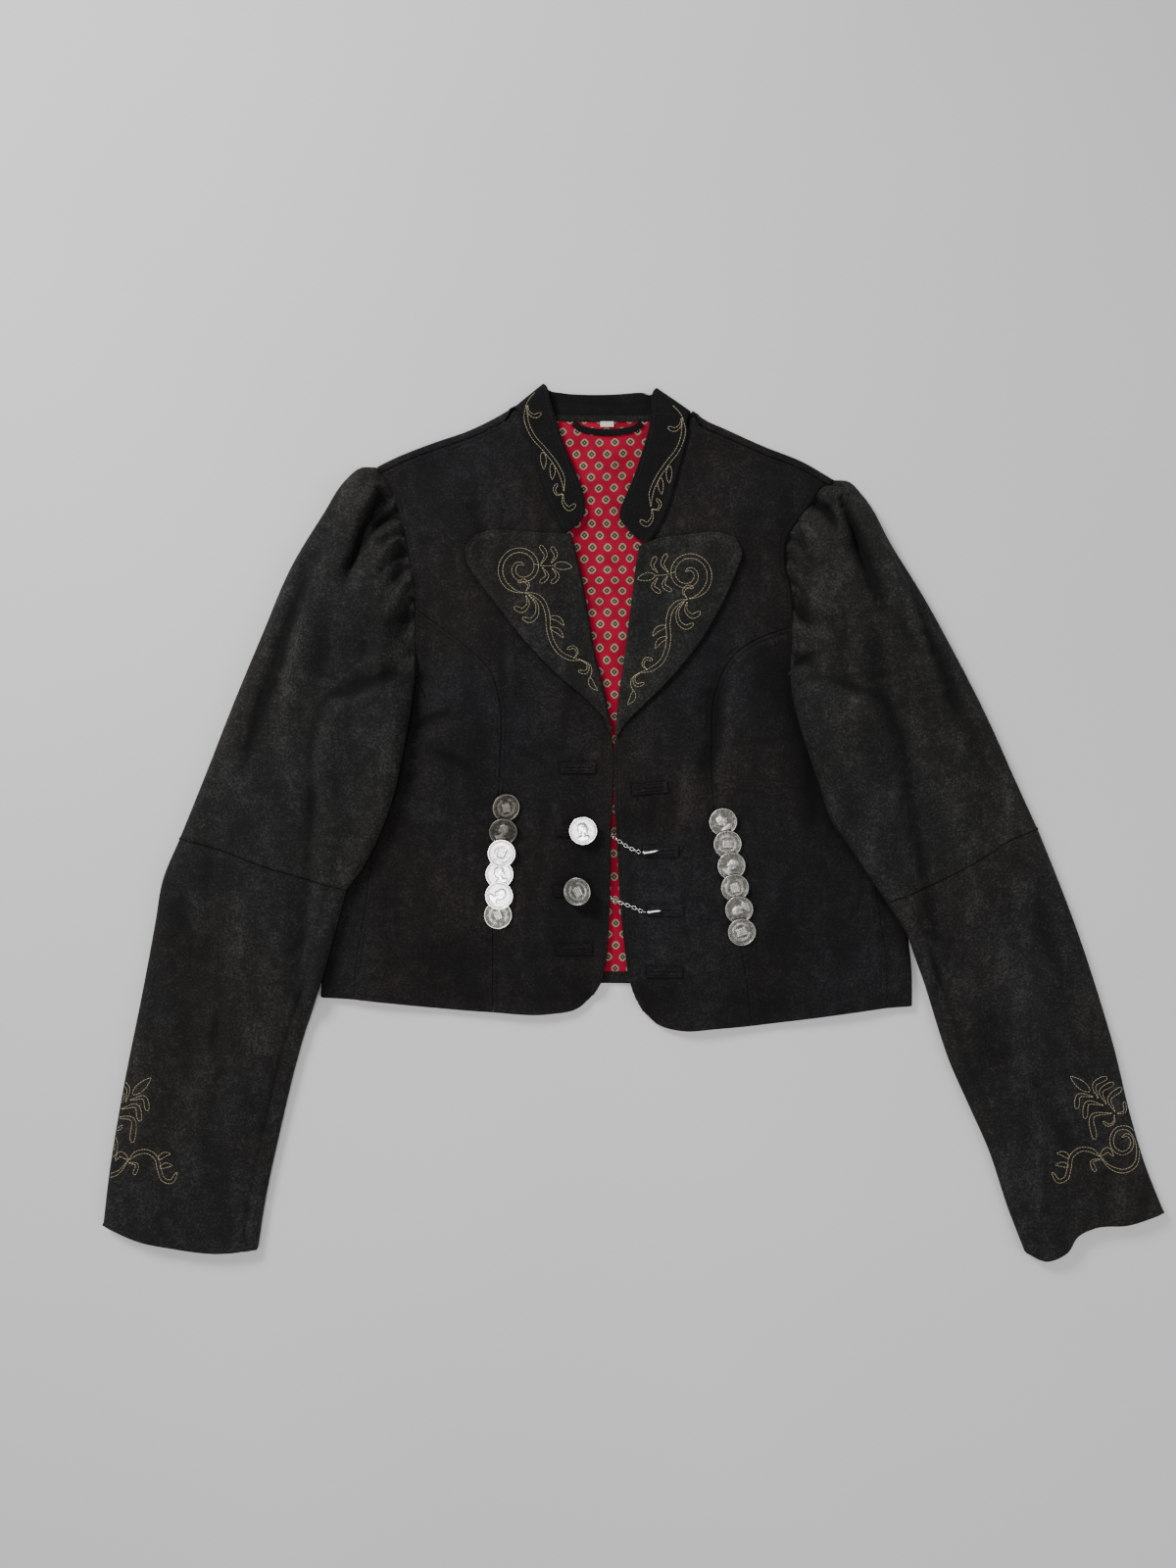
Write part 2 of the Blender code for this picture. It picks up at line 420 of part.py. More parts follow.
def material(name):
    colour, rough, metal = COLOURS[name]
    made = bpy.data.materials.get(name) or bpy.data.materials.new(name)
    made.use_nodes = True
    shader = made.node_tree.nodes["Principled BSDF"]
    shader.inputs["Base Color"].default_value = (*colour, 1.0)
    shader.inputs["Roughness"].default_value = rough
    shader.inputs["Metallic"].default_value = metal
    return made


def add_object(name, mesh, surface):
    made = bpy.data.objects.new(name, mesh)
    made.data.materials.append(material(surface))
    bpy.data.collections["suede_jacket"].objects.link(made)
    return made


def cloth(name, points, wall, surface, up=True, offset=-1.0):
    """A wall of cloth: the open loft through rows of points, thickened behind its face by Solidify.
    The face is the outside of the garment, mostly turned up, or down where up is False."""
    across, back = points[1:, 1:] - points[:-1, :-1], points[1:, :-1] - points[:-1, 1:]
    if (np.cross(across, back)[..., 2].sum() < 0) == up:
        points = points[:, ::-1]
    rows, columns = points.shape[:2]
    index = np.arange(rows * columns).reshape(rows, columns)
    quads = np.stack([index[:-1, :-1], index[:-1, 1:], index[1:, 1:], index[1:, :-1]], -1).reshape(-1, 4)
    mesh = bpy.data.meshes.new(name)
    mesh.from_pydata((points.reshape(-1, 3) * MM).tolist(), [], quads.tolist())
    mesh.shade_smooth()
    made = add_object(name, mesh, surface)
    thick = made.modifiers.new("wall", "SOLIDIFY")
    thick.thickness = wall * MM
    thick.offset = offset
    thick.use_even_offset = True
    thick.use_quality_normals = True
    thick.thickness_clamp = 1.0
    return made


def shifted_step(line):
    """Unit steps to a line's left-hand side."""
    step = np.gradient(line, axis=0)
    step /= np.linalg.norm(step, axis=1)[:, None]
    return np.stack([-step[:, 1], step[:, 0]], 1)


def shifted(line, gap):
    """A line moved to its left-hand side by a gap."""
    return line + gap * shifted_step(line)


def spaced(count):
    return np.linspace(0.0, 1.0, count)


# Fronts

def front_panels(side, princess, hem, edge, neck, shoulder, armhole, underarm, seam):
    """Front and front side panel of one side, from plan patches raised to the front's height. Both
    have the same rows along the princess seam."""
    word = "left" if side < 0 else "right"
    inward = SEAM / 2 * -side
    join, cap = smooth_line(princess), smooth_line(armhole[::-1])
    split = np.abs(cap[:, 1] - princess[-1][1]).argmin()
    above, below = shifted(cap[split:], -inward), shifted(cap[:split + 1], -inward)
    hem_line = smooth_line(hem)
    wrap = shifted(smooth_line(shoulder), (SHOULDER_WRAP + SEAM + 0.2) * side)
    outer = np.vstack([shifted(join, -inward), above])
    inner = np.vstack([smooth_line(edge), smooth_line(neck)])
    sides = trimmed(hem_line, wrap, outer, inner)
    share = length(join) / length(sides[2])
    v = np.concatenate([PRINCESS_ROWS * share, share + (1 - share) * spaced(11)[1:]])
    grid = patch(*sides, spaced(11)[None, :], v[:, None])
    cloth(f"front_{word}", raised(grid), SUEDE, "suede_body")

    top = np.vstack([shifted(smooth_line(underarm[::-1]), -inward), below])
    sides = trimmed(hem_line, top, shifted(smooth_line(seam), -inward), shifted(join, inward))
    corner = length(smooth_line(underarm)) / length(top)
    u = np.concatenate([corner * spaced(4), corner + (1 - corner) * spaced(4)[1:]])
    grid = patch(*sides, u[None, :], PRINCESS_ROWS[:, None])
    cloth(f"front_side_{word}", raised(grid), SUEDE, "suede_body")


def raised(grid):
    """Plan points with the front's height."""
    return np.dstack([grid, front_height(grid[..., 0], grid[..., 1])])


def side_panel(side, edge, seam):
    """Side panel: from the side seam over the rolled side edge and back under the body."""
    word = "left" if side < 0 else "right"
    share = spaced(11)
    rim = along(smooth_line(edge), share)
    inner = along(shifted(smooth_line(seam), SEAM / 2 * -side), share)
    wide = np.linalg.norm(inner - rim, axis=1)
    columns = []
    for part in (1.0, 0.62, 0.3):
        spot = rim + (inner - rim) * part
        columns.append(np.column_stack([spot, front_height(*spot.T)]))
    for turn in (90, 60, 30, 0, -30, -60, -90):
        reach = SIDE_ROLL * (1 - math.cos(math.radians(turn)))
        spot = rim + (inner - rim) * (reach / wide)[:, None]
        near = rim + (inner - rim) * (SIDE_ROLL / wide)[:, None]
        half = front_height(*near.T) / 2
        columns.append(np.column_stack([spot, half + half * math.sin(math.radians(turn))]))
    spot = rim + (inner - rim) * SIDE_UNDER
    columns.append(np.column_stack([spot, np.zeros(len(rim))]))
    cloth(f"side_{word}", np.stack(columns, 1), BACK_WALL, "suede_body")


# Back

def back_panel():
    """Back panel: flat on the surface, and rolled over both shoulders to the shoulder seams. Its rows
    meet the corners at the side edge and the underarm on both sides."""
    rims, shares = [], []
    for side, edge, seam, underarm, armhole in (
            (-1, SIDE_EDGE_LEFT, SIDE_SEAM_LEFT, UNDERARM_LEFT, ARMHOLE_LEFT),
            (1, SIDE_EDGE_RIGHT, SIDE_SEAM_RIGHT, UNDERARM_RIGHT, ARMHOLE_RIGHT)):
        outer, inner = along(smooth_line(edge), spaced(60)), along(smooth_line(seam), spaced(60))
        lower = outer + (inner - outer) * SIDE_UNDER + np.array([-side * SEAM, 0.0])
        stretches = [lower, shifted(smooth_line(underarm[::-1]), SEAM / 2 * side),
                     shifted(smooth_line(armhole[::-1]), SEAM / 2 * side)]
        rims.append(np.vstack(stretches))
        ends = np.array([0.0, length(lower), length(np.vstack(stretches[:2])), length(rims[-1])])
        shares.append(ends / ends[-1])
    top = chain_lines(SHOULDER_LEFT, BACK_NECK, SHOULDER_RIGHT[::-1])
    sides = trimmed(smooth_line(BACK_HEM), top, *rims)
    run = [length(smooth_line(t)) for t in (SHOULDER_LEFT, BACK_NECK, SHOULDER_RIGHT)]
    necks = run[0] / sum(run), (run[0] + run[1]) / sum(run)
    u = np.concatenate([necks[0] * SHOULDER_COLUMNS, necks[0] + (necks[1] - necks[0]) * NECK_COLUMNS,
                        1 - (1 - necks[1]) * SHOULDER_COLUMNS[::-1]])
    v = [np.interp(BACK_ROWS, (0, 1, 2, 3), share)[:, None] for share in shares]
    flat = patch(*sides, u[None, :], v[0], v[1], ease((v[0] - 0.6) / 0.4))
    silhouette = along(sides[1], u)
    inward = -shifted_step(silhouette)
    for end, rim in ((0, sides[2]), (-1, sides[3])):
        inward[end] = (rim[-6] - rim[-1]) / np.linalg.norm(rim[-6] - rim[-1])
    count = len(SHOULDER_COLUMNS)
    wrap = np.ones(len(u))
    wrap[count:-count] = 0.0
    wrap[[count - 1, -count]] = NECK_POINT_WRAP
    layers = [np.column_stack([row, np.zeros(len(u))]) for row in flat]
    away, z = SIDE_ROLL * np.ones(len(u)), np.zeros(len(u))
    layers.append(np.column_stack([silhouette + inward * away[:, None], z]))
    for turn, step in SHOULDER_ROLL:
        angle = wrap * math.radians(turn)
        size = wrap * step + (1 - wrap) * FLAT_STEP
        away, z = away - size * np.cos(angle), z + size * np.sin(angle)
        layers.append(np.column_stack([silhouette + inward * away[:, None], z]))
    cloth("back_panel", np.stack(layers, 0), BACK_WALL, "suede_body", up=False)


def back_lining():
    """Foulard lining on the back panel, with its ease fold, and the facing along the hem."""
    sides = [smooth_line(t) for t in (LINING_BOTTOM, LINING_TOP, LINING_LEFT, LINING_RIGHT)]
    v = np.array([0, 0.12, 0.25, 0.4, 0.55, 0.7, 0.8, 0.88, 0.925, 0.941, 0.951, 0.961, 0.973, 1.0])
    grid = patch(*sides, spaced(11)[None, :], v[:, None])
    base = BACK_WALL + REST + LINING
    z = base + folds(grid[..., 0], grid[..., 1], [LINING_EASE])
    cloth("back_lining", np.dstack([grid, z]), LINING, "foulard_lining")
    bottom = shifted(smooth_line(LINING_BOTTOM), -SEAM)
    rows = [along(shifted(bottom, -HEM_FACING_WIDTH), spaced(9)), along(bottom, spaced(9))]
    z = np.full((2, 9), BACK_WALL + REST + LINING)
    cloth("back_hem_facing", np.dstack([np.array(rows), z]), LINING, "suede_brown")


# Lapels and collar

def lapel(side, fold, loose, top):
    """Turned-back facing: lies on the front and rolls down round the front's edge at its fold."""
    word = "left" if side < 0 else "right"
    v = np.array([0, 0.04, 0.1, 0.2, 0.32, 0.44, 0.56, 0.68, 0.79, 0.88, 0.95, 1.0])
    sides = smooth_line([fold[0], loose[0]], 20), smooth_line(top), smooth_line(fold), smooth_line(loose)
    grid = patch(*sides, np.array([[0.0, 0.2, 0.4, 0.6, 0.8, 1.0]]), v[:, None])
    wide = np.linalg.norm(grid[:, -1] - grid[:, 0], axis=1)
    out = (grid[:, -1] - grid[:, 0]) / wide[:, None]
    flat = np.dstack([grid, front_height(grid[..., 0], grid[..., 1]) + LAPEL_REST + FACING])
    edge = grid[:, 0] + out * np.minimum(3.2, wide * 0.5)[:, None]
    face = front_height(*edge.T) + LAPEL_REST + FACING
    drop = (FACING + LAPEL_REST + SUEDE) * (0.2 + 0.8 * ease(v / 0.12))
    columns = [np.column_stack([grid[:, 0] + out * np.minimum(away, wide * part)[:, None], face - drop * fall])
               for away, part, fall in ((0.0, 0.0, 1.0), (0.0, 0.01, 0.45), (0.7, 0.1, 0.12), (2.6, 0.16, 0.0))]
    points = np.concatenate([np.stack(columns, 1), flat[:, 1:]], 1)
    cloth(f"lapel_{word}", points, FACING, "suede_green" if side > 0 else "suede_brown")


def collar():
    """Stand collar as a flattened ring: two front stretches, the back lying open, two half turns."""
    def half_turn(fold, outward, down):
        base, loose = np.array(fold[:2]), np.array(fold[2:])
        rows = []
        for turn in (90, 50, 10, -30, -65, -90)[::down]:
            reach = COLLAR_TURN * math.cos(math.radians(turn)) * np.array(outward)
            z = 1.5 + COLLAR_TURN * (1 + math.sin(math.radians(turn)))
            rows.append((*(base + reach), z, *(loose + reach), z))
        return rows

    rows = (COLLAR_LEFT + half_turn(COLLAR_FOLD_LEFT, (-0.64, 0.77), 1) + COLLAR_BACK
            + half_turn(COLLAR_FOLD_RIGHT, (0.57, 0.82), -1) + COLLAR_RIGHT)
    table = np.array(rows)
    base, loose = table[:, None, :3], table[:, None, 3:]
    share = spaced(5)[None, :, None]
    points = base + (loose - base) * share
    cloth("collar", points, COLLAR_WALL, "suede_collar", offset=0.0)


# Sleeves

def sleeve(side, stretch, outer, inner, start, end, heights, roll, seam_in, fold_table, columns, rows):
    """Top and under part of one stretch of a sleeve: a flattened tube between its outer and inner
    edge, rounded at both, with its folds and gathers on top."""
    word = "left" if side < 0 else "right"
    rim = RIM_LEFT if side < 0 else RIM_RIGHT
    cap = smooth_line(ARMHOLE_LEFT if side < 0 else ARMHOLE_RIGHT)
    sides = [smooth_line(t) for t in (start, end, outer, inner)]
    first = (SEAM / 2 + 0.2) / length(sides[3])
    last = 1.0 - first if stretch == "upper" else 1.0
    v = first + (last - first) * spaced(rows) ** (CROWD if stretch == "upper" else 1.0)
    wide = np.linalg.norm(along(sides[3], v) - along(sides[2], v), axis=1)
    curve = roll[0] + (roll[1] - roll[0]) * v
    seam = seam_in[0] + (seam_in[1] - seam_in[0]) * v

    def section(u, top, turn=90.0):
        """One line of points along the sleeve at the share u of its width, on its top or underside,
        where the edge's rounding has come to the given turn."""
        spot = patch(*sides, u, v)
        x, y = spot.T
        low = lift(x, y, rim, side)
        crown = 1 - CREST * (2 * u - 1) ** 2
        high = low * LEANING + np.interp(v, *zip(*heights)) * crown
        if stretch == "upper":
            risen = ease(np.abs(distance(x, y, cap)) / CAP_RUN)
            high = np.maximum(EDGE_HEIGHT + 0.2, low + CAP_STEP) * (1 - risen) + high * risen
        middle = low + MIDDLE * (high - low)
        near = np.minimum(np.abs(distance(x, y, sides[2])), np.abs(distance(x, y, sides[3])))
        size = np.minimum(curve, (high - middle) ** 2 / TIP_RADIUS) if top else UNDER_ROLL
        bend = np.sqrt(np.clip(1 - (1 - np.clip(near / size, 0, 1)) ** 2, 0, 1))
        bend = np.maximum(bend, math.sin(math.radians(min(turn, UPRIGHT)))) if turn <= UPRIGHT else bend
        if top:
            bump = folds(x, y, fold_table) * ease(near / curve - 0.1)
            return np.column_stack([spot, middle + (high - middle + bump) * bend])
        return np.column_stack([spot, middle - (middle - low) * bend])

    def around(turn):
        return 0.0 if turn <= UPRIGHT else 1 - math.cos(math.radians(turn))

    on_top = stretch == "lower"
    top = [section(curve * around(turn) / wide, True, turn) for turn in ROLL]
    top[0][:, 2] += SEAM / 2
    if on_top:
        ends = [curve + COLUMN_STEP[0], seam * 0.4 + curve * 0.6 + COLUMN_STEP[1],
                seam + SEAM / 2 + SEAM_STEP, seam + SEAM / 2]
        for share in spaced(columns)[1:-1]:
            top.append(section((curve + (wide - ends[0] - curve) * share) / wide, True))
        for away in ends:
            top.append(section(1 - away / wide, True))
    else:
        for share in spaced(columns)[1:-1]:
            top.append(section(curve / wide * (1 - share) + from_inner(sides, v, curve) * share, True))
        for turn in ROLL[::-1]:
            top.append(section(from_inner(sides, v, curve * around(turn)), True, turn))
        top[-1][:, 2] += SEAM / 2
    surface = "suede_green" if stretch == "upper" else "suede_brown"
    cloth(f"sleeve_{stretch}_top_{word}", np.stack(top, 1), SUEDE, surface)

    under = [section(UNDER_ROLL * around(turn) / wide, False, turn) for turn in UNDER_TURNS]
    under[0][:, 2] -= SEAM / 2
    for share in climb_columns(sides, v, wide, rim, side, stretch):
        under.append(section(share, False))
    if on_top:
        for turn in (90, 50, 0):
            under.append(section(1 - UNDER_ROLL * around(turn) / wide, False, turn))
        for away in (seam * 0.3, seam - SEAM / 2 - SEAM_STEP, seam - SEAM / 2):
            under.append(section(1 - away / wide, True))
    else:
        under.append(section(from_inner(sides, v, UNDER_SHORT + UNDER_ROLL), False))
        under.append(section(from_inner(sides, v, UNDER_SHORT), False))
    cloth(f"sleeve_{stretch}_under_{word}", np.stack(under, 1), SUEDE, surface, up=False)


def from_inner(sides, v, away):
    """Share of each row's width at which it is the given distance away from the inner edge."""
    u = np.linspace(1.0, 0.3, 120)
    spot = patch(*sides, u[None, :], v[:, None])
    reach = np.maximum.accumulate(np.abs(distance(spot[..., 0], spot[..., 1], sides[3])), axis=1)
    away = np.broadcast_to(away, v.shape)
    return np.array([np.interp(a, row, u) for a, row in zip(away, reach)])


def climb_columns(sides, v, wide, rim, side, stretch):
    """Shares of the sleeve's width for the underside's columns: where it climbs onto the body, they
    follow the body's side edge, and elsewhere they lie near the inner edge."""
    u = spaced(81)
    spot = patch(*sides, u[None, :], v[:, None])
    inside = distance(spot[..., 0], spot[..., 1], rim) * side > 0
    over = inside.mean(1) * wide
    over = np.clip(over, 0, wide * 0.55)
    steps = (18.0, 12.5, 8.0, 3.0) if stretch == "upper" else (18.0, 9.0, 3.0)
    shares = [1 - (np.maximum(over, UNDER_ROLL) + step) / wide for step in steps]
    if stretch == "lower":
        return shares
    return [np.minimum(share, from_inner(sides, v, UNDER_SHORT + UNDER_ROLL + step))
            for share, step in zip(shares, steps)]


# Coins, buttonholes, chains, loop and label

def coin(name, x, y, rise_y, rise_x, stand, held):
    """Coin button: a disc on its short soldered shank, seated on the front, on a buttonhole's welt or
    with its rim on the next coin."""
    turn = np.radians(np.arange(0, 360, 15))
    ring = np.array([0.5, 1.0])[:, None] * COIN_WIDTH / 2
    px, py = (ring * np.cos(turn)).ravel(), (ring * np.sin(turn)).ravel()
    seat = front_height(x + px, y + py) - rise_x * px - rise_y * py
    floor = float(front_height(np.array([x]), np.array([y]))[0]) + stand
    centre = max(seat.max() + stand, floor) + held + REST + COIN_THICK / 2
    foot = centre - floor - REST
    profile = [(0, COIN_THICK / 2), (COIN_WIDTH / 2, COIN_THICK / 2), (COIN_WIDTH / 2, -COIN_THICK / 2),
               (SHANK_WIDTH / 2, -COIN_THICK / 2), (SHANK_WIDTH / 2, -foot), (0, -foot)]
    mesh = bpy.data.meshes.new(name)
    mesh.from_pydata([(r * MM, 0.0, z * MM) for r, z in profile], [(i, i + 1) for i in range(5)], [])
    made = add_object(name, mesh, "coin_metal")
    made.location = (x * MM, y * MM, centre * MM)
    made.rotation_euler = (math.atan(rise_y), -math.atan(rise_x), 0.0)
    screw = made.modifiers.new("turn", "SCREW")
    screw.steps = COIN_SIDES
    screw.render_steps = COIN_SIDES
    screw.use_merge_vertices = True
    screw.merge_threshold = 0.00001
    return made


def buttonhole(name, x, y, turn):
    """Bound buttonhole: a welt on each side of the slit and a bar at its ends, as one frame."""
    spin = math.radians(turn)
    across = np.array([-0.5, -0.36, 0.0, 0.36, 0.5]) * HOLE_LENGTH
    up = np.array([-0.5, 0.5]) * HOLE_WIDTH
    gx, gy = np.meshgrid(across, up)
    px = x + gx * math.cos(spin) - gy * math.sin(spin)
    py = y + gx * math.sin(spin) + gy * math.cos(spin)
    z = front_height(px, py) + HOLE_REST + HOLE_WALL
    cloth(name, np.dstack([px, py, z]), HOLE_WALL, "suede_body")


def ribbon(name, table, wide, thick, heights, surface):
    """A flat band along a path of (x, y) rows at the given heights of its middle."""
    path = np.array([row[:2] for row in table], float)
    step = np.gradient(path, axis=0)
    step /= np.linalg.norm(step, axis=1)[:, None]
    across = np.stack([-step[:, 1], step[:, 0]], 1) * wide / 2
    rows = np.stack([np.column_stack([path + across, heights]),
                     np.column_stack([path - across, heights])], 0)
    cloth(name, rows, thick, surface, offset=0.0)


def chain(name, table):
    """Fastening chain: comes out from under the left edge and lies over the right front's edge, with
    its end on the buttonhole."""
    x, y, climb = np.array(table, float).T
    base = BACK_WALL + REST + LINING + REST + CHAIN_THICK / 2
    front = front_height(x, y) + REST + CHAIN_THICK / 2
    heights = base + (front - base) * np.minimum(climb, 1.1)
    heights = heights + ease(climb - 1.1) * (HOLE_WALL + HOLE_REST + 0.1)
    ribbon(name, table, CHAIN_WIDTH, CHAIN_THICK, heights, "chain_metal")


def main():
    for old in list(bpy.data.objects):
        bpy.data.objects.remove(old, do_unlink=True)
    group = bpy.data.collections.new("suede_jacket")
    bpy.context.scene.collection.children.link(group)

    front_panels(-1, PRINCESS_LEFT, HEM_LEFT, EDGE_LEFT, NECK_LEFT, SHOULDER_LEFT, ARMHOLE_LEFT,
                 UNDERARM_LEFT, SIDE_SEAM_LEFT)
    front_panels(1, PRINCESS_RIGHT, HEM_RIGHT, EDGE_RIGHT, NECK_RIGHT, SHOULDER_RIGHT, ARMHOLE_RIGHT,
                 UNDERARM_RIGHT, SIDE_SEAM_RIGHT)
    side_panel(-1, SIDE_EDGE_LEFT, SIDE_SEAM_LEFT)
    side_panel(1, SIDE_EDGE_RIGHT, SIDE_SEAM_RIGHT)
    back_panel()
    back_lining()
    lapel(-1, LAPEL_FOLD_LEFT, LAPEL_LOOSE_LEFT, LAPEL_TOP_LEFT)
    lapel(1, LAPEL_FOLD_RIGHT, LAPEL_LOOSE_RIGHT, LAPEL_TOP_RIGHT)
    collar()
    sleeve(-1, "upper", UPPER_OUTER_LEFT, UPPER_INNER_LEFT, ARMHOLE_LEFT, ELBOW_LEFT, UPPER_HEIGHT,
           SLEEVE_ROLL[:2], FRONT_SEAM_IN[:2], SLEEVE_FOLDS_LEFT, 15, 15)
    sleeve(1, "upper", UPPER_OUTER_RIGHT, UPPER_INNER_RIGHT, ARMHOLE_RIGHT, ELBOW_RIGHT, UPPER_HEIGHT,
           SLEEVE_ROLL[:2], FRONT_SEAM_IN[:2], SLEEVE_FOLDS_RIGHT, 15, 15)
    sleeve(-1, "lower", LOWER_OUTER_LEFT, LOWER_INNER_LEFT, ELBOW_LEFT, CUFF_LEFT, LOWER_HEIGHT,
           SLEEVE_ROLL[1:], FRONT_SEAM_IN[1:], LOWER_FOLDS_LEFT, 8, 13)
    sleeve(1, "lower", LOWER_OUTER_RIGHT, LOWER_INNER_RIGHT, ELBOW_RIGHT, CUFF_RIGHT, LOWER_HEIGHT,
           SLEEVE_ROLL[1:], FRONT_SEAM_IN[1:], LOWER_FOLDS_RIGHT, 8, 13)
    for number, row in enumerate(COINS_LEFT, 1):
        coin(f"coin_left_{number}", *row)
    for number, row in enumerate(COINS_RIGHT, 1):
        coin(f"coin_right_{number}", *row)
    for name, row in BUTTONS.items():
        coin(name, *row)
    for number, row in enumerate(HOLES_LEFT, 1):
        buttonhole(f"buttonhole_left_{number}", *row)
    for number, row in enumerate(HOLES_RIGHT, 1):
        buttonhole(f"buttonhole_right_{number}", *row)
    chain("chain_upper", CHAIN_UPPER)
    chain("chain_lower", CHAIN_LOWER)
    base = BACK_WALL + REST + LINING + REST
    ribbon("hanger_loop", LOOP, LOOP_WIDTH, LOOP_THICK, np.full(len(LOOP), base + LOOP_THICK / 2),
           "suede_collar")
    x, y, long, wide, thick = LABEL
    ribbon("label", [(x - long / 2, y, 0), (x + long / 2, y, 0)], wide, thick,
           np.full(2, base + thick / 2), "label_cloth")


main()
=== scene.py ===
"""Looks of a cropped traditional suede jacket, laid flat on its back with the sleeves spread.

X runs across the jacket, +Y runs from hem to collar, +Z is up from the surface it lies on. "Left" is
the -X side. Sizes and places are in millimetres, and MM turns them to metres. Cloth is a grid of
points worked out in plan, raised to its height, and given a wall.
"""

import math

import bpy
import numpy as np
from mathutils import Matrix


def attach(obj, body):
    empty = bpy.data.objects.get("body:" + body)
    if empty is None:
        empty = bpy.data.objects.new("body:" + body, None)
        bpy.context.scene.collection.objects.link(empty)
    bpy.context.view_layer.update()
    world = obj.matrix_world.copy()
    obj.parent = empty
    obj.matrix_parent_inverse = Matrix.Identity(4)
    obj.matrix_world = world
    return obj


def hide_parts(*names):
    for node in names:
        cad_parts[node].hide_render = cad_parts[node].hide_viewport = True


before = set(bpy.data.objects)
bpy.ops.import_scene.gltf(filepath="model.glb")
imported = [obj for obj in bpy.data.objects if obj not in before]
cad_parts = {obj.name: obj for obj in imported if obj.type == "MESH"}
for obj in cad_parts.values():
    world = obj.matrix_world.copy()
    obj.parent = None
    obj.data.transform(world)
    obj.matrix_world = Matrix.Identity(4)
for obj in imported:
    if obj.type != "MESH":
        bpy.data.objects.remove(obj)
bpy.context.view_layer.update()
MM = 0.001
LEFT, RIGHT = -1, 1
SIDES = (LEFT, RIGHT)
WORD = {LEFT: "left", RIGHT: "right"}
UP = (0.0, 0.0, 1.0)

# Sizes shared with the solids
SUEDE = 1.6                 # wall of every suede panel
FACING = 1.8                # wall of the lapels
COLLAR_WALL = 2.0           # two layers of suede pressed together
LINING = 1.0                # wall of the foulard lining
SEAM = 0.06                 # width of a sewn seam: the panels meet closer than the solids do
REST = 0.3                  # clear height between two layers that touch
BACK_WALL = 1.5             # wall of the back panel
COIN_WIDTH = 22.8
COIN_THICK = 1.5
EDGE_HEIGHT = 6.8           # outer face of the fronts at their edges
FRONT_RISE = 3.0            # how far the fronts stand higher inside their edges
RISE_RUN = 45.0             # distance from the edge over which they rise
BUST_RISE = 4.5
BUST_SPREAD = 46.0
UNDERARM_DROP = 1.8         # how far the sleeve presses the front down at the underarm
UNDERARM_SPREAD = 26.0
HEM_DROP = 3.4              # fall of the fronts where they pass the back's hem
HEM_FALL = (-16.0, 14.0)    # where the fall starts and ends, before and past the back's hem
SIDE_ROLL = 4.5             # rounding of the side edges
SIDE_UNDER = 0.8            # share of the side panel's front width that it has under the body
SHOULDER_WRAP = 7.0         # how far the back comes over the shoulder line
SHOULDER_RADIUS = 3.47      # of the back's roll over the shoulder
NECK_POINT_WRAP = 0.25      # how far it is rolled over at the shoulder seam's inner end
NECK_POINT_RUN = 11.0       # length of the seam over which the roll grows from there
SHOULDER_START = 4.5        # where the roll starts, in from the shoulder line
ROLL_STEPS = 14             # steps of the roll's half round
CENTRE_FRONT = -16.5        # x at which the fronts meet
LIFT_RUN = 20.0             # distance over which a sleeve climbs onto the body
LIFT_EARLY = 4.0            # how far outside the body it is up
LIFT_REST = 0.8             # clear height between the sleeve and the front below it
LAPEL_REST = 0.7            # clear height under the lapels
SLEEVE_ROLL = (14.0, 10.0, 8.0)        # rounding of the sleeve's edges at armhole, elbow and cuff
FRONT_SEAM_IN = (8.0, 14.0, 12.0)      # the sleeve's front seam, in from its inner edge
CAP_RUN = 30.0              # distance over which the gathered cap swells from the armhole
UNDER_ROLL = 5.0            # rounding of the sleeve's edges below
TIP_RADIUS = 2.6            # tightest bend at the sleeve's edges
CAP_STEP = 7.5              # height that the sleeve needs above the front where it rests on it

# Outlines in plan, as rows of (x, y). Lines that two pieces share are given once.
ARMHOLE = {
    LEFT: [(-210, 290.4), (-198.8, 275.2), (-189.2, 247.2), (-182.8, 221.6), (-178.8, 195.2),
           (-177.2, 159.2), (-178, 119.2)],
    RIGHT: [(163.6, 280), (153.2, 273.6), (143.6, 260), (132.4, 245.6), (123.6, 229.6), (122.8, 211.2),
            (127.6, 187.2), (129.2, 159.2), (127.6, 119.2)]}
UNDERARM = {
    LEFT: [(-178, 119.2), (-186, 107), (-196, 100), (-210, 95.2)],
    RIGHT: [(127.6, 119.2), (137, 106), (150, 97.5), (167.6, 92.8)]}
SIDE_EDGE = {
    LEFT: [(-256.4, -144), (-254, -112.8), (-248.4, -64.8), (-242.8, 15.2), (-240.4, 63.2), (-234, 85.6)],
    RIGHT: [(228.4, -151.2), (227.6, -120.8), (225.2, -96.8), (217.2, -48.8), (205.2, 15.2), (197.2, 63.2),
            (186.8, 85.6)]}
SIDE_SEAM = {
    LEFT: [(-228.4, -145.6), (-226.8, -120.8), (-221.2, -84.8), (-216.4, -52.8), (-212.4, -8.8),
           (-210, 39.2), (-210, 95.2)],
    RIGHT: [(206.8, -152.8), (206, -112.8), (200.4, -72.8), (194.8, -32.8), (186.8, 15.2), (177.2, 59.2),
            (167.6, 92.8)]}
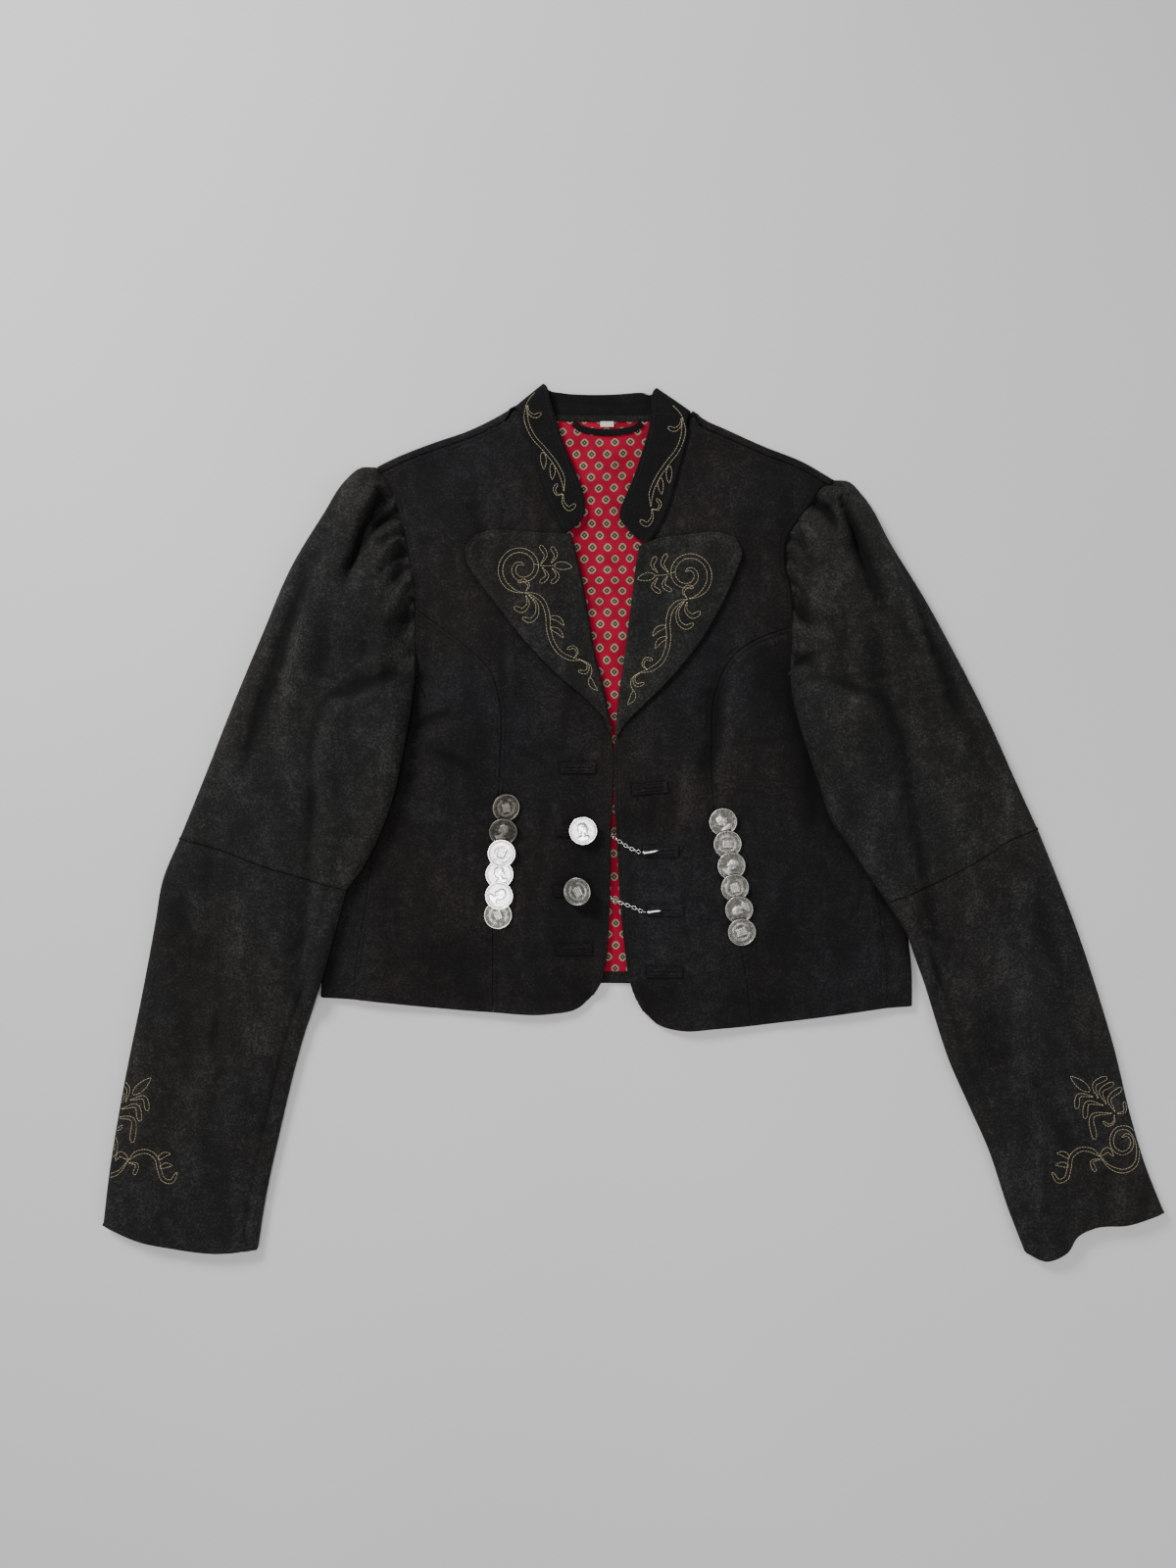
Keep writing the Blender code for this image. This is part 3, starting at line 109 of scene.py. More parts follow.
PRINCESS = {
    LEFT: [(-114.8, -156), (-114.8, -96.8), (-113.2, -48.8), (-110.8, 7.2), (-108.4, 55.2), (-108.4, 95.2),
           (-117.2, 123.2), (-137.2, 143.2), (-161.2, 161.6), (-177.2, 173.6)],
    RIGHT: [(96.4, -167.2), (93.2, -136.8), (88.4, -108.8), (82.8, -84.8), (73.2, -32.8), (65.2, 15.2),
            (63.6, 63.2), (66, 103.2), (76.4, 128.8), (94.8, 145.6), (114.8, 154.4), (129.2, 159.2)]}
HEM = {
    LEFT: [(-228.4, -145.6), (-197.2, -148.8), (-149.2, -153.6), (-114.8, -156), (-69.2, -157.6),
           (-45.2, -152.8), (-32.4, -141.6)],
    RIGHT: [(206.8, -152.8), (170.8, -157.6), (122.8, -164), (96.4, -167.2), (66.8, -169.6), (38.8, -171.2),
            (20.4, -166.4), (7.6, -155.2)]}
EDGE = {
    LEFT: [(-32.4, -141.6), (-26, -130.4), (-22.8, -116.8), (-20.4, -88.8), (-18.8, -48.8), (-18.2, -6),
           (-17.0, 22), (-16.6, 59.2), (-19.2, 75.2), (-26.8, 107.2), (-34, 135.2), (-39.6, 167.2),
           (-45.2, 199.2), (-50.8, 223.2), (-54, 234.4)],
    RIGHT: [(7.6, -155.2), (0.4, -141.6), (-3.6, -128.8), (-7.6, -100.8), (-10.8, -68.8), (-13.8, -16.8),
            (-15.8, 18), (-16.1, 40), (-15.8, 60), (-12.4, 77), (-8.4, 107.2), (-4.4, 135.2), (-0.4, 165.6),
            (2.8, 191.2), (5.2, 211.2), (7.6, 224)]}
NECK = {
    LEFT: [(-54, 234.4), (-63.6, 250.4), (-72.4, 271.2), (-79.6, 295.2), (-86.8, 319.2), (-92, 334)],
    RIGHT: [(7.6, 224), (18, 237.6), (27.6, 259.2), (35.6, 287.2), (42.8, 315.2), (46, 329)]}
SHOULDER = {
    LEFT: [(-210, 290.4), (-197.2, 296.8), (-165.2, 309.6), (-133.2, 320.8), (-109.2, 332.8), (-97, 340)],
    RIGHT: [(163.6, 280), (138.8, 294.4), (106.8, 307.2), (74.8, 321.6), (58.8, 328.8), (49, 335.5)]}
BACK_NECK = [(-97, 340), (-87, 331.8), (-66, 329.6), (-21, 329.2), (18, 329.6), (38, 330.2), (49, 335.5)]
BACK_HEM = [(-254, -142.4), (-181.2, -136.8), (-101.2, -133.6), (-14.8, -132.8), (74.8, -135.2),
            (162.8, -142.4), (226, -149.6)]

# Lapels: fold line at the neck opening, loose outer edge and top edge, all from the bottom or inside
LAPEL_FOLD = {
    LEFT: [(-17.6, 72), (-23.6, 107.2), (-30.8, 135.2), (-36.4, 167.2), (-42, 199.2), (-47.6, 223.2),
           (-50.8, 234.8)],
    RIGHT: [(-15.4, 70), (-11.6, 107.2), (-7.6, 135.2), (-3.6, 165.6), (-0.4, 191.2), (2, 211.2),
            (4.4, 224.8)]}
LAPEL_LOOSE = {
    LEFT: [(-19.8, 72.6), (-23.6, 83.2), (-35.6, 96.8), (-57.2, 115.2), (-85.2, 143.2), (-107.6, 171.2),
           (-125.2, 194.4), (-135.6, 211.2), (-136.6, 223), (-127.6, 233.6)],
    RIGHT: [(-12.6, 70.6), (-8.4, 77.6), (6.8, 93.6), (30.8, 117.6), (57.2, 151.2), (74.8, 183.2),
            (84.4, 205.6), (88.2, 219.2), (82, 231.2)]}
LAPEL_TOP = {
    LEFT: [(-50.8, 234.8), (-73.2, 235.2), (-97.2, 236.8), (-117.2, 236.8), (-127.6, 233.6)],
    RIGHT: [(4.4, 224.8), (18.8, 230.4), (42.8, 233.6), (70.8, 234.8), (82, 231.2)]}

# Sleeves: outer and inner edges of the upper and lower stretch, elbow seam and cuff, outer edge first
UPPER_OUTER = {
    LEFT: [(-210, 290.4), (-222.8, 289.6), (-235.6, 278.4), (-252.4, 252), (-279.6, 206.4), (-302.8, 152.8),
           (-326.8, 96), (-350, 37.6), (-370.8, -13.6)],
    RIGHT: [(163.6, 280), (175.6, 278.4), (187.6, 265.6), (210, 225.6), (240.4, 176), (257.2, 145.6),
            (287.6, 87.2), (315.6, 25.6), (330, -5.6)]}
UPPER_INNER = {
    LEFT: [(-178, 119.2), (-180.4, 95.2), (-186.8, 55.2), (-194.8, 19.2), (-205.2, -8.8), (-219.6, -36.8),
           (-233.2, -55.2)],
    RIGHT: [(127.6, 119.2), (129.2, 99.2), (137.2, 67.2), (148.4, 35.2), (158.8, 3.2), (178.8, -26.4),
            (205.2, -65.6)]}
ELBOW = {
    LEFT: [(-370.8, -13.6), (-337.2, -22.4), (-301.2, -36), (-269.2, -45.6), (-233.2, -55.2)],
    RIGHT: [(330, -5.6), (306.8, -14.4), (285.5, -28), (242.8, -50.4), (205.2, -65.6)]}
LOWER_OUTER = {
    LEFT: [(-370.8, -13.6), (-385.2, -48.8), (-390.8, -80.8), (-401.2, -136.8), (-417.2, -216.8),
           (-429.2, -288.8), (-434, -329.6)],
    RIGHT: [(330, -5.6), (344.4, -40.8), (362.8, -88.8), (378.8, -136.8), (393.2, -184.8), (406.8, -240.8),
            (418.8, -280.8), (434, -319.2)]}
LOWER_INNER = {
    LEFT: [(-233.2, -55.2), (-241.2, -84.8), (-256.4, -138.4), (-267.6, -168.8), (-277.2, -202.4),
           (-289.2, -252.8), (-301.2, -308.8), (-307.6, -349.6)],
    RIGHT: [(205.2, -65.6), (220.4, -88.8), (230.8, -116.8), (242.8, -148.8), (258.8, -196.8),
            (274.8, -232.8), (290.8, -268.8), (306.8, -316.8), (320.4, -352)]}
CUFF = {
    LEFT: [(-434, -329.6), (-405.2, -341.6), (-373.2, -348), (-341.2, -352), (-307.6, -349.6)],
    RIGHT: [(434, -319.2), (402.8, -328.8), (374.8, -331.2), (362, -337.6), (353.2, -351.2),
            (335.6, -358.4), (320.4, -352)]}

# Height of the sleeve's tube: rows of (share of the stretch, height)
UPPER_HEIGHT = [(0, 16), (0.14, 21), (0.3, 23.5), (0.55, 20), (0.8, 16.5), (1, 15)]
LOWER_HEIGHT = [(0, 15), (0.3, 13), (0.6, 12), (1, 11)]

# Folds: rows of (start x, start y, middle x, middle y, end x, end y, height, half width)
BODY_FOLDS = [
    (-105, 170, -101, 130, -100, 80, 1.6, 11), (-150, 120, -158, 60, -156, -30, 1.4, 16),
    (-66, 60, -62, -10, -66, -90, 1.2, 14), (63, 112, 60, 60, 58, 10, -1.6, 10),
    (42, 66, 50, 5, 54, -60, 1.6, 11), (112, 70, 122, -10, 128, -100, 1.4, 18),
    (-150, 285, -142, 250, -128, 225, 1.2, 12), (100, 285, 92, 262, 84, 242, 1.2, 11)]
# Waves of the fronts' hem: rows of (x, height, half width)
HEM_WAVES = [
    (-205, 1.0, 26), (-150, -0.9, 22), (-92, 1.2, 24), (58, 1.2, 22), (112, -0.9, 20), (165, 1.1, 26)]
UPPER_FOLDS = {
    LEFT: [(-215, 287, -253, 191, -289, 47, 3.6, 13), (-238, 268, -256, 211, -275, 143, -2.6, 9),
           (-210, 274, -229, 235, -236, 191, -4.6, 8), (-196, 257, -214, 246, -222, 235, -2.6, 6),
           (-189, 240, -199, 238, -207, 226, 2.4, 6), (-184, 224, -190, 212, -193, 190, -2.6, 6),
           (-179, 206, -184, 190, -186, 165, 2.2, 7), (-178, 172, -188, 160, -196, 140, -2.0, 7),
           (-180, 132, -205, 128, -228, 110, 2.0, 11), (-246, 120, -262, 60, -292, 0, 2.2, 15),
           (-320, 60, -322, 10, -334, -30, 1.8, 13), (-232, 20, -262, -20, -282, -38, 1.8, 12)],
    RIGHT: [(168, 278, 204, 223, 242, 140, 3.4, 12), (242, 140, 262, 84, 290, 10, 2.8, 14),
            (174, 264, 186, 215, 204, 158, -4.4, 8), (147, 264, 158, 250, 166, 234, -3.0, 6),
            (158, 272, 174, 250, 182, 226, 2.4, 7), (134, 246, 146, 234, 152, 214, 2.6, 7),
            (125, 222, 140, 212, 148, 194, -2.6, 7), (126, 198, 132, 180, 148, 152, -3.4, 7),
            (128, 160, 144, 156, 160, 140, 2.2, 8), (128, 128, 142, 132, 154, 142, -1.8, 6),
            (196, 120, 214, 60, 232, 0, 2.0, 15), (160, 60, 192, 20, 214, -24, 1.8, 13)]}
LOWER_FOLDS = {
    LEFT: [(-372, -20, -352, -60, -345, -110, 2.2, 12), (-300, -38, -315, -80, -318, -130, 1.8, 13),
           (-392, -150, -372, -190, -366, -240, 1.4, 13), (-300, -160, -322, -220, -338, -290, 1.6, 14),
           (-398, -290, -392, -320, -388, -345, 1.4, 10)],
    RIGHT: [(332, -12, 318, -50, 312, -100, 2.0, 12), (262, -46, 282, -90, 296, -140, 1.8, 13),
            (372, -130, 356, -170, 352, -220, 1.4, 13), (300, -190, 326, -240, 350, -290, 1.6, 14),
            (400, -270, 398, -300, 402, -330, 1.4, 10)]}
LINING_EASE = (-92, 306, -22, 309, 44, 305, 1.5, 4.2)    # crosswise ease fold below the back neck

# Collar from the left front end, round the back, to the right front end:
# rows of (base x, base y, middle height at the base, loose edge x, y, middle height there)
COLLAR_LEFT = [
    (-53.6, 236.6, 7.4, -45.5, 242.5, 7.2), (-56.5, 240.6, 7.6, -41.2, 249, 7.2),
    (-62.4, 251.2, 7.8, -39.8, 260, 7.2), (-67.2, 262, 7.9, -41.8, 270, 7.3),
    (-71.4, 272, 8.0, -45.6, 281, 7.4), (-75.2, 284, 8.0, -50.4, 292, 7.5),
    (-78.8, 296, 8.0, -55, 303, 7.6), (-82.4, 308, 8.0, -59, 314.5, 7.7),
    (-86.2, 320.4, 7.9, -62.6, 327, 7.8), (-90.4, 332.5, 7.8, -67.4, 342, 7.8)]
COLLAR_FOLD_LEFT = (-92.6, 337.6, -71, 355.4)      # centre of the left half turn, base then loose edge
COLLAR_BACK = [
    (-79, 334.6, 1.6, -57.6, 351.6, 1.6), (-62, 331.6, 1.5, -42, 350.4, 1.6),
    (-40, 330.9, 1.5, -27, 350.2, 1.6), (-18, 330.8, 1.5, -14, 350.6, 1.6),
    (4, 331.2, 1.5, -3, 351.4, 1.6), (24, 331.9, 1.6, 6, 352, 1.6)]
COLLAR_FOLD_RIGHT = (42.4, 333.4, 16.2, 351.6)
COLLAR_RIGHT = [
    (41.4, 316, 7.8, 14, 331, 7.8), (37.8, 301, 8.0, 10.6, 314, 7.8),
    (34.2, 287.4, 8.0, 7, 302, 7.7), (30.2, 273.4, 8.0, 3, 289.6, 7.6),
    (26.4, 260.2, 7.9, -1.8, 277, 7.4), (21.8, 248.4, 7.8, -6.6, 266, 7.3),
    (16.4, 238.6, 7.7, -10.6, 255.6, 7.2), (11.4, 231.6, 7.5, -11, 247.4, 7.2),
    (7.4, 227.6, 7.4, -3, 236.4, 7.2)]
COLLAR_TURN = 3.1                                    # half height of its two half turns

# Lining's outline in plan, bottom edge, two sides and the top along the neck
LINING_BOTTOM = [(-206, -127), (-100, -124), (-15, -123), (75, -125.5), (180, -134)]
LINING_LEFT = [(-206, -127), (-203, 0), (-203, 70), (-172, 122), (-171, 195), (-192, 268)]
LINING_RIGHT = [(180, -134), (176, 0), (162, 70), (121, 122), (117, 215), (147, 258)]
LINING_TOP = [(-192, 268), (-150, 296), (-104, 318), (-82, 327), (-60, 328.6), (-21, 328.6),
              (12, 328.6), (34, 326.4), (56, 315), (100, 292), (147, 258)]
HEM_FACING_WIDTH = 8.6

# Coins: rows of (x, y, rise toward +Y, rise toward +X, height of what the shank stands on, how far a
# coin underneath holds the disc up), rises as slopes. A button's row ends with its look.
COINS = {
    LEFT: [(-103.6, 11.6, 0.2, -0.35, 0.0, 0.0), (-106, -8.0, 0.29, -0.1, 0.0, 0.0),
           (-107.2, -25.4, 0.14, 0.0, 0.0, 2.0), (-109.2, -42.6, 0.0, 0.0, 0.0, 0.0),
           (-109.4, -59.8, 0.0, 0.0, 0.0, 2.0), (-110.4, -75.8, 0.0, 0.0, 0.0, 0.0)],
    RIGHT: [(72.4, 0, 0.13, 0.0, 0.0, 0.0), (76, -18, 0.13, 0.0, 0.0, 0.0),
            (79.2, -35.6, 0.13, 0.0, 0.0, 0.0), (82, -53.4, 0.13, 0.0, 0.0, 0.0),
            (85.4, -71.2, 0.13, 0.0, 0.0, 0.0), (87.6, -89.4, 0.13, 0.0, 0.0, 0.0)]}
BUTTONS = {"button_upper": (-41.2, -7.2, 0.0, 0.02, 1.4, 0.0, "bust", 8, "silver_polished"),
           "button_lower": (-46, -56.2, 0.05, 0.3, 1.4, 0.0, "wreath", 30, "silver_coin")}

# Buttonholes: rows of (x, y, turn in degrees)
HOLES = {
    LEFT: [(-45.5, 44, 0), (-48.4, -7.2, 0), (-50.5, -56, 0), (-48.4, -104, 0)],
    RIGHT: [(13.2, 27.2, 5), (22, -24, 1), (26, -72, 0), (25.2, -122.4, 0)]}
HOLE_LENGTH = 29.0
HOLE_WIDTH = 9.0
HOLE_WALL = 0.8
HOLE_REST = 0.5

# Chains: rows of (x, y, share of the climb from the lining onto the right front, 2 on its buttonhole)
CHAIN_UPPER = [
    (-20.6, -10.6, 0), (-19, -11, 0), (-17.4, -11.9, 0.06), (-16, -12.9, 0.6), (-14.5, -14, 1.1),
    (-9.2, -17.6, 1.06), (-3, -21.4, 1.08), (3, -24, 1.3), (6.4, -25, 2), (14, -24.4, 2), (19.6, -23.2, 2)]
CHAIN_LOWER = [
    (-21.4, -61.6, 0), (-19.4, -62.2, 0), (-17.6, -63, 0.1), (-15, -64.2, 0.5), (-12, -65.6, 1.06),
    (-6, -67.6, 1.06), (1.2, -70.4, 1.08), (7, -73, 1.3), (10.4, -73.6, 2), (16, -72.8, 2), (22, -72, 2)]
BAR_UPPER = 13.0            # length of the bar at the chain's end
BAR_LOWER = 11.5
CHAIN_THICK = 1.4

LOOP = [(-49, 326.4), (-44, 322.6), (-32, 319.4), (-21, 318.6), (-10, 319.4), (2, 322.6), (7, 326.4)]
LOOP_WIDTH = 5.4
LOOP_THICK = 1.4
LABEL = [(-27.1, 325.4), (-16.1, 325.4)]    # both ends of its middle line
LABEL_WIDTH = 4.6
LABEL_THICK = 0.6
LABEL_LIFT = 0.8            # clear height under the label

# Fine form, meshes, stitches and links that only the looks have
SEWN_STEPS = (0, 0.07, 0.25, 0.5, 0.85, 1.6, 2.5, 3.3, 3.9, 4.5, 5.2, 6.6, 8.4)  # grid lines at a rim
THIN_STEPS = (0, 0.06, 0.2, 0.4, 0.8)
STITCH_IN = 4.0             # stitch lines, in from their rims
LAPEL_STITCH_IN = 2.6
COLLAR_STITCH_IN = 3.3
LINK_PITCH = 2.9
COLLAR_TUCK = 3.0           # how far the collar's base reaches over the fronts' and the back's edge
NECK_TAPE = [(-84, 331.0), (-60, 330.2), (-21, 329.6), (12, 330.2), (40, 331.4)]
NECK_TAPE_WIDTH = 4.2
NECK_TAPE_THICK = 0.7
FLAT = 0.01                 # heights below this lie on the surface
FRONT_PITCH = 2.5           # mesh of the fronts
LINING_PITCH = 5.0
LINK_LONG = 1.85            # half length of a link's middle line
LINK_WIDE = 1.3
LINK_TWISTS = (12.0, 74.0)  # how far even and odd links are turned, in degrees
LINK_TURNS = 20             # points along a link's middle line
WIRE = 0.36                 # radius of a link's wire
WIRE_SIDES = 8
BAR_WIDE = 1.25             # half width of the bar
BAR_HIGH = 0.6
STITCH = (3.0, 0.22)        # length and radius of a top stitch
EMBROIDERY = (2.3, 0.185)   # and of an embroidery stitch
THREAD_KNOTS = 5            # points along one stitch
THREAD_SIDES = 4
STITCH_FROM = -132          # y of both ends of the stitching along the front edges
STITCH_TO = 64
COIN_FIELD = 8.6            # radius of the coin's field
COIN_SUNK = 0.35            # how far the field lies under the face's middle height
BEADS = 60                  # beads in the coin's ring
BEAD_RING = 9.55            # radius of that ring
BEAD_RADIUS = 0.42          # the beads are 1 mm apart
COIN_BACK = [(11.4, 0.25), (11.4, -0.45), (11.15, -0.75), (2.2, -0.75), (1.6, -1.1)]    # its profile
UNDER_SLEEVE = 1.0          # how far the fronts reach under the sleeve at the armhole
ROW_CROWD = 0.35            # how much closer the sleeve's rows lie at the armhole
TUCK_RUN = 8.0              # the sleeve's top turns down into the armhole seam over this run
TUCK_HEIGHT = 3.4           # height left of the tube at the seam
BODY_CREASES = [
    (-178, 78, -162, 86, -144, 90, -2.0, 3.4), (-170, 60, -150, 52, -126, 40, -1.1, 5),
    (-196, 20, -178, 8, -150, 4, 1.1, 7), (-94, 60, -80, 52, -62, 50, -1.0, 5),
    (-76, -100, -72, -60, -64, -24, 1.3, 7), (-44, 60, -40, 20, -42, -28, -1.0, 6),
    (40, 96, 52, 80, 56, 50, 1.4, 5), (76, 116, 70, 84, 72, 50, -1.3, 5),
    (90, 92, 108, 60, 118, 20, 1.3, 8), (150, 60, 146, 30, 150, -20, -1.3, 7),
    (100, -100, 112, -60, 116, -10, 1.1, 9), (30, -150, 34, -100, 30, -60, -1.1, 8),
    (-134, 262, -126, 240, -118, 226, -1.3, 6), (63, 112, 60, 60, 59, 22, -1.8, 7),
    (-104, 158, -102, 120, -101, 82, 1.4, 6), (44, 60, 49, 10, 52, -30, 1.1, 7),
    (-170, 262, -160, 236, -158, 206, 1.1, 8), (120, 262, 108, 236, 104, 206, 1.3, 8),
    (-60, 20, -62, -40, -70, -96, 1.3, 9)]
LINING_CREASES = [
    (-60, 300, -56, 280, -58, 250, 0.35, 7), (-20, 296, -24, 262, -20, 226, -0.25, 6),
    (20, 300, 16, 276, 6, 240, 0.35, 6), (-86, 296, -20, 299, 30, 297, -0.7, 2.6)]

# Gathers of the sleeve cap: rows of (place along the armhole from the shoulder, height, half width,
# reach from the seam)
GATHERS = {
    LEFT: [(0.04, 1.3, 2.2, 15), (0.075, -1.7, 1.7, 22), (0.115, 2.5, 2.8, 34), (0.165, -2.8, 1.8, 26),
           (0.2, 1.5, 1.6, 13), (0.25, -3.2, 2.3, 38), (0.285, 2.3, 1.8, 20), (0.33, -1.7, 1.5, 14),
           (0.365, 3.0, 2.5, 34), (0.415, -3.4, 2.0, 28), (0.45, 1.7, 1.6, 16), (0.495, -2.3, 1.7, 22),
           (0.555, 2.7, 2.7, 30), (0.6, -1.9, 1.7, 17), (0.655, 1.5, 2.2, 15), (0.71, -1.7, 2.4, 24),
           (0.78, 1.1, 2.6, 17)],
    RIGHT: [(0.05, -1.5, 1.8, 18), (0.085, 1.9, 2.0, 24), (0.13, -3.0, 2.3, 36), (0.17, 1.7, 1.6, 14),
            (0.215, 2.8, 2.8, 40), (0.265, -2.5, 1.7, 22), (0.3, 1.5, 1.5, 13), (0.35, -3.4, 2.4, 34),
            (0.39, 2.5, 2.0, 26), (0.44, -1.9, 1.6, 17), (0.485, 2.8, 2.5, 30), (0.54, -3.0, 2.2, 26),
            (0.585, 1.7, 1.8, 15), (0.64, -2.1, 2.1, 22), (0.7, 1.9, 2.6, 20), (0.77, -1.3, 2.4, 16)]}

# Sharper creases of the upper sleeves, rows as the folds
UPPER_CREASES = {
    LEFT: [(-202, 266, -214, 232, -226, 196, -3.5, 9), (-208, 271, -222, 233, -235, 188, -7.0, 3.2),
           (-214, 275, -232, 236, -243, 192, 3.2, 5), (-238, 262, -248, 240, -262, 196, 1.6, 4),
           (-207, 278, -218, 261, -240, 233, 3.4, 5), (-194, 255, -204, 247, -214, 238, -3.9, 2.6),
           (-196, 259, -206, 252, -218, 243, 2.9, 3.2), (-190, 248, -199, 243, -206, 235, -2.9, 2.2),
           (-188, 243, -196, 237, -209, 228, 2.4, 3), (-188, 236, -190, 223, -186, 210, -2.7, 2.4),
           (-186, 233, -196, 221, -202, 198, 2.2, 4), (-180, 184, -186, 172, -192, 157, -5.4, 3.2),
           (-182, 193, -190, 180, -198, 158, 3.2, 5), (-242, 253, -251, 233, -258, 198, -2.9, 5),
           (-246, 240, -266, 160, -288, 66, 2.0, 5), (-262, 226, -283, 150, -302, 84, -2.4, 7),
           (-216, 150, -222, 110, -240, 60, -1.9, 8), (-236, 90, -252, 50, -262, 10, 1.7, 7),
           (-300, 110, -312, 60, -322, 20, -1.7, 7)],
    RIGHT: [(146, 262, 158, 253, 167, 235, -5.4, 2.8), (149, 267, 161, 259, 171, 242, 3.0, 3.6),
            (160, 262, 172, 238, 185, 200, -3.2, 8), (166, 267, 179, 240, 191, 196, -7.0, 3.2),
            (176, 270, 190, 240, 202, 196, 3.2, 5), (172, 275, 200, 226, 226, 172, 1.6, 4),
            (180, 275, 209, 226, 234, 172, -3.0, 4), (158, 275, 176, 263, 192, 237, 2.9, 4),
            (170, 276, 185, 256, 199, 237, -3.6, 3), (196, 238, 220, 180, 256, 70, 2.4, 5),
            (208, 224, 232, 168, 264, 84, -2.4, 5), (126, 233, 124, 217, 128, 199, -2.9, 3),
            (130, 189, 138, 172, 147, 153, -5.6, 3.2), (134, 194, 146, 180, 155, 158, 2.9, 5),
            (128, 125, 136, 130, 150, 139, -2.9, 2.4), (136, 243, 139, 229, 152, 217, -2.5, 3.4),
            (158, 170, 166, 130, 176, 90, -1.9, 8), (180, 120, 190, 80, 206, 30, 1.7, 8),
            (250, 110, 266, 70, 284, 30, -1.7, 7)]}

# Pleats that lean over the trough beside them: rows as the folds, with the lean for the height
LEANS = {
    LEFT: [(-214, 275, -231, 236, -242, 192, 7.0, 5.5), (-196, 259, -207, 252, -219, 243, 2.4, 3.2)],
    RIGHT: [(177, 270, 190, 240, 201, 196, 6.4, 5.5), (150, 268, 162, 260, 172, 242, 2.2, 3.2)]}

# Painted shade in the folds and under overlapping parts, and patches of lighter or darker nap
# Tone areas: rows of (x, y, half length, half width, turn in degrees, amount)
TONES = [
    (101, 157, 60, 16, 80, 0.3), (137, 62, 70, 13, 95, -0.45), (43, 23, 40, 6, 80, 0.3),
    (65.5, 80, 46, 6, 86, -0.85), (88, 70, 60, 10, 95, 0.3), (113, -103, 42, 26, 90, -0.38),
    (-148, 133, 40, 18, 60, 0.3), (-106, 130, 38, 4.5, 90, -0.9), (-88, 82, 45, 10, 85, 0.18),
    (-128, 49, 50, 12, 90, -0.33), (-125, -113, 48, 24, 0, -0.52), (-53, -48, 80, 26, 90, -0.38),
    (13, 5, 26, 15, 0, -0.45), (24, -84, 40, 22, 90, 0.15), (-166, 218, 40, 22, 80, 0.12),
    (70, 258, 40, 24, 60, 0.18), (-60, 20, 40, 14, 90, -0.22), (160, -60, 60, 14, 95, -0.3),
    (-200, -60, 60, 12, 92, -0.38), (-294, 118, 78, 8, 72, -0.8), (-251, 142, 28, 8, 80, -0.45),
    (-224, 155, 26, 14, 60, -0.38), (-280, 100, 90, 8, 78, 0.33), (-206, 110, 38, 13, 72, -0.2),
    (-229, 211, 32, 6, 75, -0.6), (-250, 20, 50, 14, 60, -0.27), (-205, 205, 26, 9, 80, 0.18),
    (195, 124, 46, 11, 100, -0.6), (207, 66, 30, 13, 90, -0.45), (168, 148, 30, 5, 95, -0.45),
    (154, 99, 40, 12, 105, 0.22), (240, 42, 52, 12, 112, 0.6), (310, 5, 32, 11, 118, 0.45),
    (251, 122, 82, 7, 113, -0.85), (222, 176, 60, 6, 114, 0.38), (189, 208, 34, 6, 108, -0.7),
    (158, 182, 24, 12, 100, 0.15), (190, 20, 36, 14, 110, 0.18), (338, -94, 42, 10, 110, -0.38),
    (289, -175, 32, 12, 110, -0.45), (269, -126, 40, 12, 115, 0.22), (359, -126, 56, 7, 110, 0.27),
    (310, -270, 40, 11, 110, 0.3), (306, -70, 50, 9, 106, 0.3), (380, -290, 30, 14, 20, -0.22),
    (-367, -88, 52, 14, 100, -0.33), (-316, -82, 60, 12, 80, 0.18), (-341, -169, 17, 4, 80, -0.6),
    (-295, -219, 60, 9, 78, -0.38), (-403, -306, 26, 14, 0, 0.18), (-360, -250, 50, 12, 80, 0.15),
    (-275, -110, 40, 9, 75, 0.18), (188, 70, 46, 18, 95, -0.2), (-152, 70, 46, 20, 95, -0.3),
    (-180, -111, 46, 18, 0, -0.3), (-369, -190, 34, 14, 82, -0.3), (314, -127, 50, 18, 110, 0.5),
    (109, 272, 30, 18, -20, 0.2), (-162, 84, 20, 4, 18, -0.45), (-150, 74, 22, 6, 20, 0.25),
    (77, 60, 46, 4, 88, 0.4)]

LOWER_CREASES = {
    LEFT: [(-350, -40, -346, -80, -352, -130, -1.6, 7), (-280, -70, -296, -110, -306, -160, 1.6, 7),
           (-388, -110, -380, -160, -384, -210, 1.4, 6), (-330, -190, -346, -240, -350, -300, -1.4, 8),
           (-262, -80, -270, -98, -284, -112, -1.4, 4)],
    RIGHT: [(300, -50, 310, -90, 328, -130, -1.6, 7), (236, -90, 258, -130, 270, -176, 1.6, 7),
            (350, -90, 362, -140, 372, -190, 1.4, 6), (318, -200, 344, -250, 356, -300, -1.4, 8),
            (226, -80, 240, -92, 258, -98, -1.4, 4)]}

# Struck face, turn in degrees and finish of each coin, from the top; the polished finish is partly painted
# reflection
COIN_LOOKS = {
    LEFT: [("wreath", 10, "silver_tarnished"), ("bust", -20, "silver_tarnished"),
           ("wreath", 160, "silver_polished"), ("bust back", 15, "silver_polished"),
           ("bust", -60, "silver_polished"), ("wreath", 200, "silver_coin")],
    RIGHT: [("bust", 40, "silver_coin"), ("wreath", 90, "silver_coin"), ("bust back", -30, "silver_coin"),
            ("wreath", 15, "silver_coin"), ("bust", 120, "silver_coin"), ("wreath", -70, "silver_coin")]}

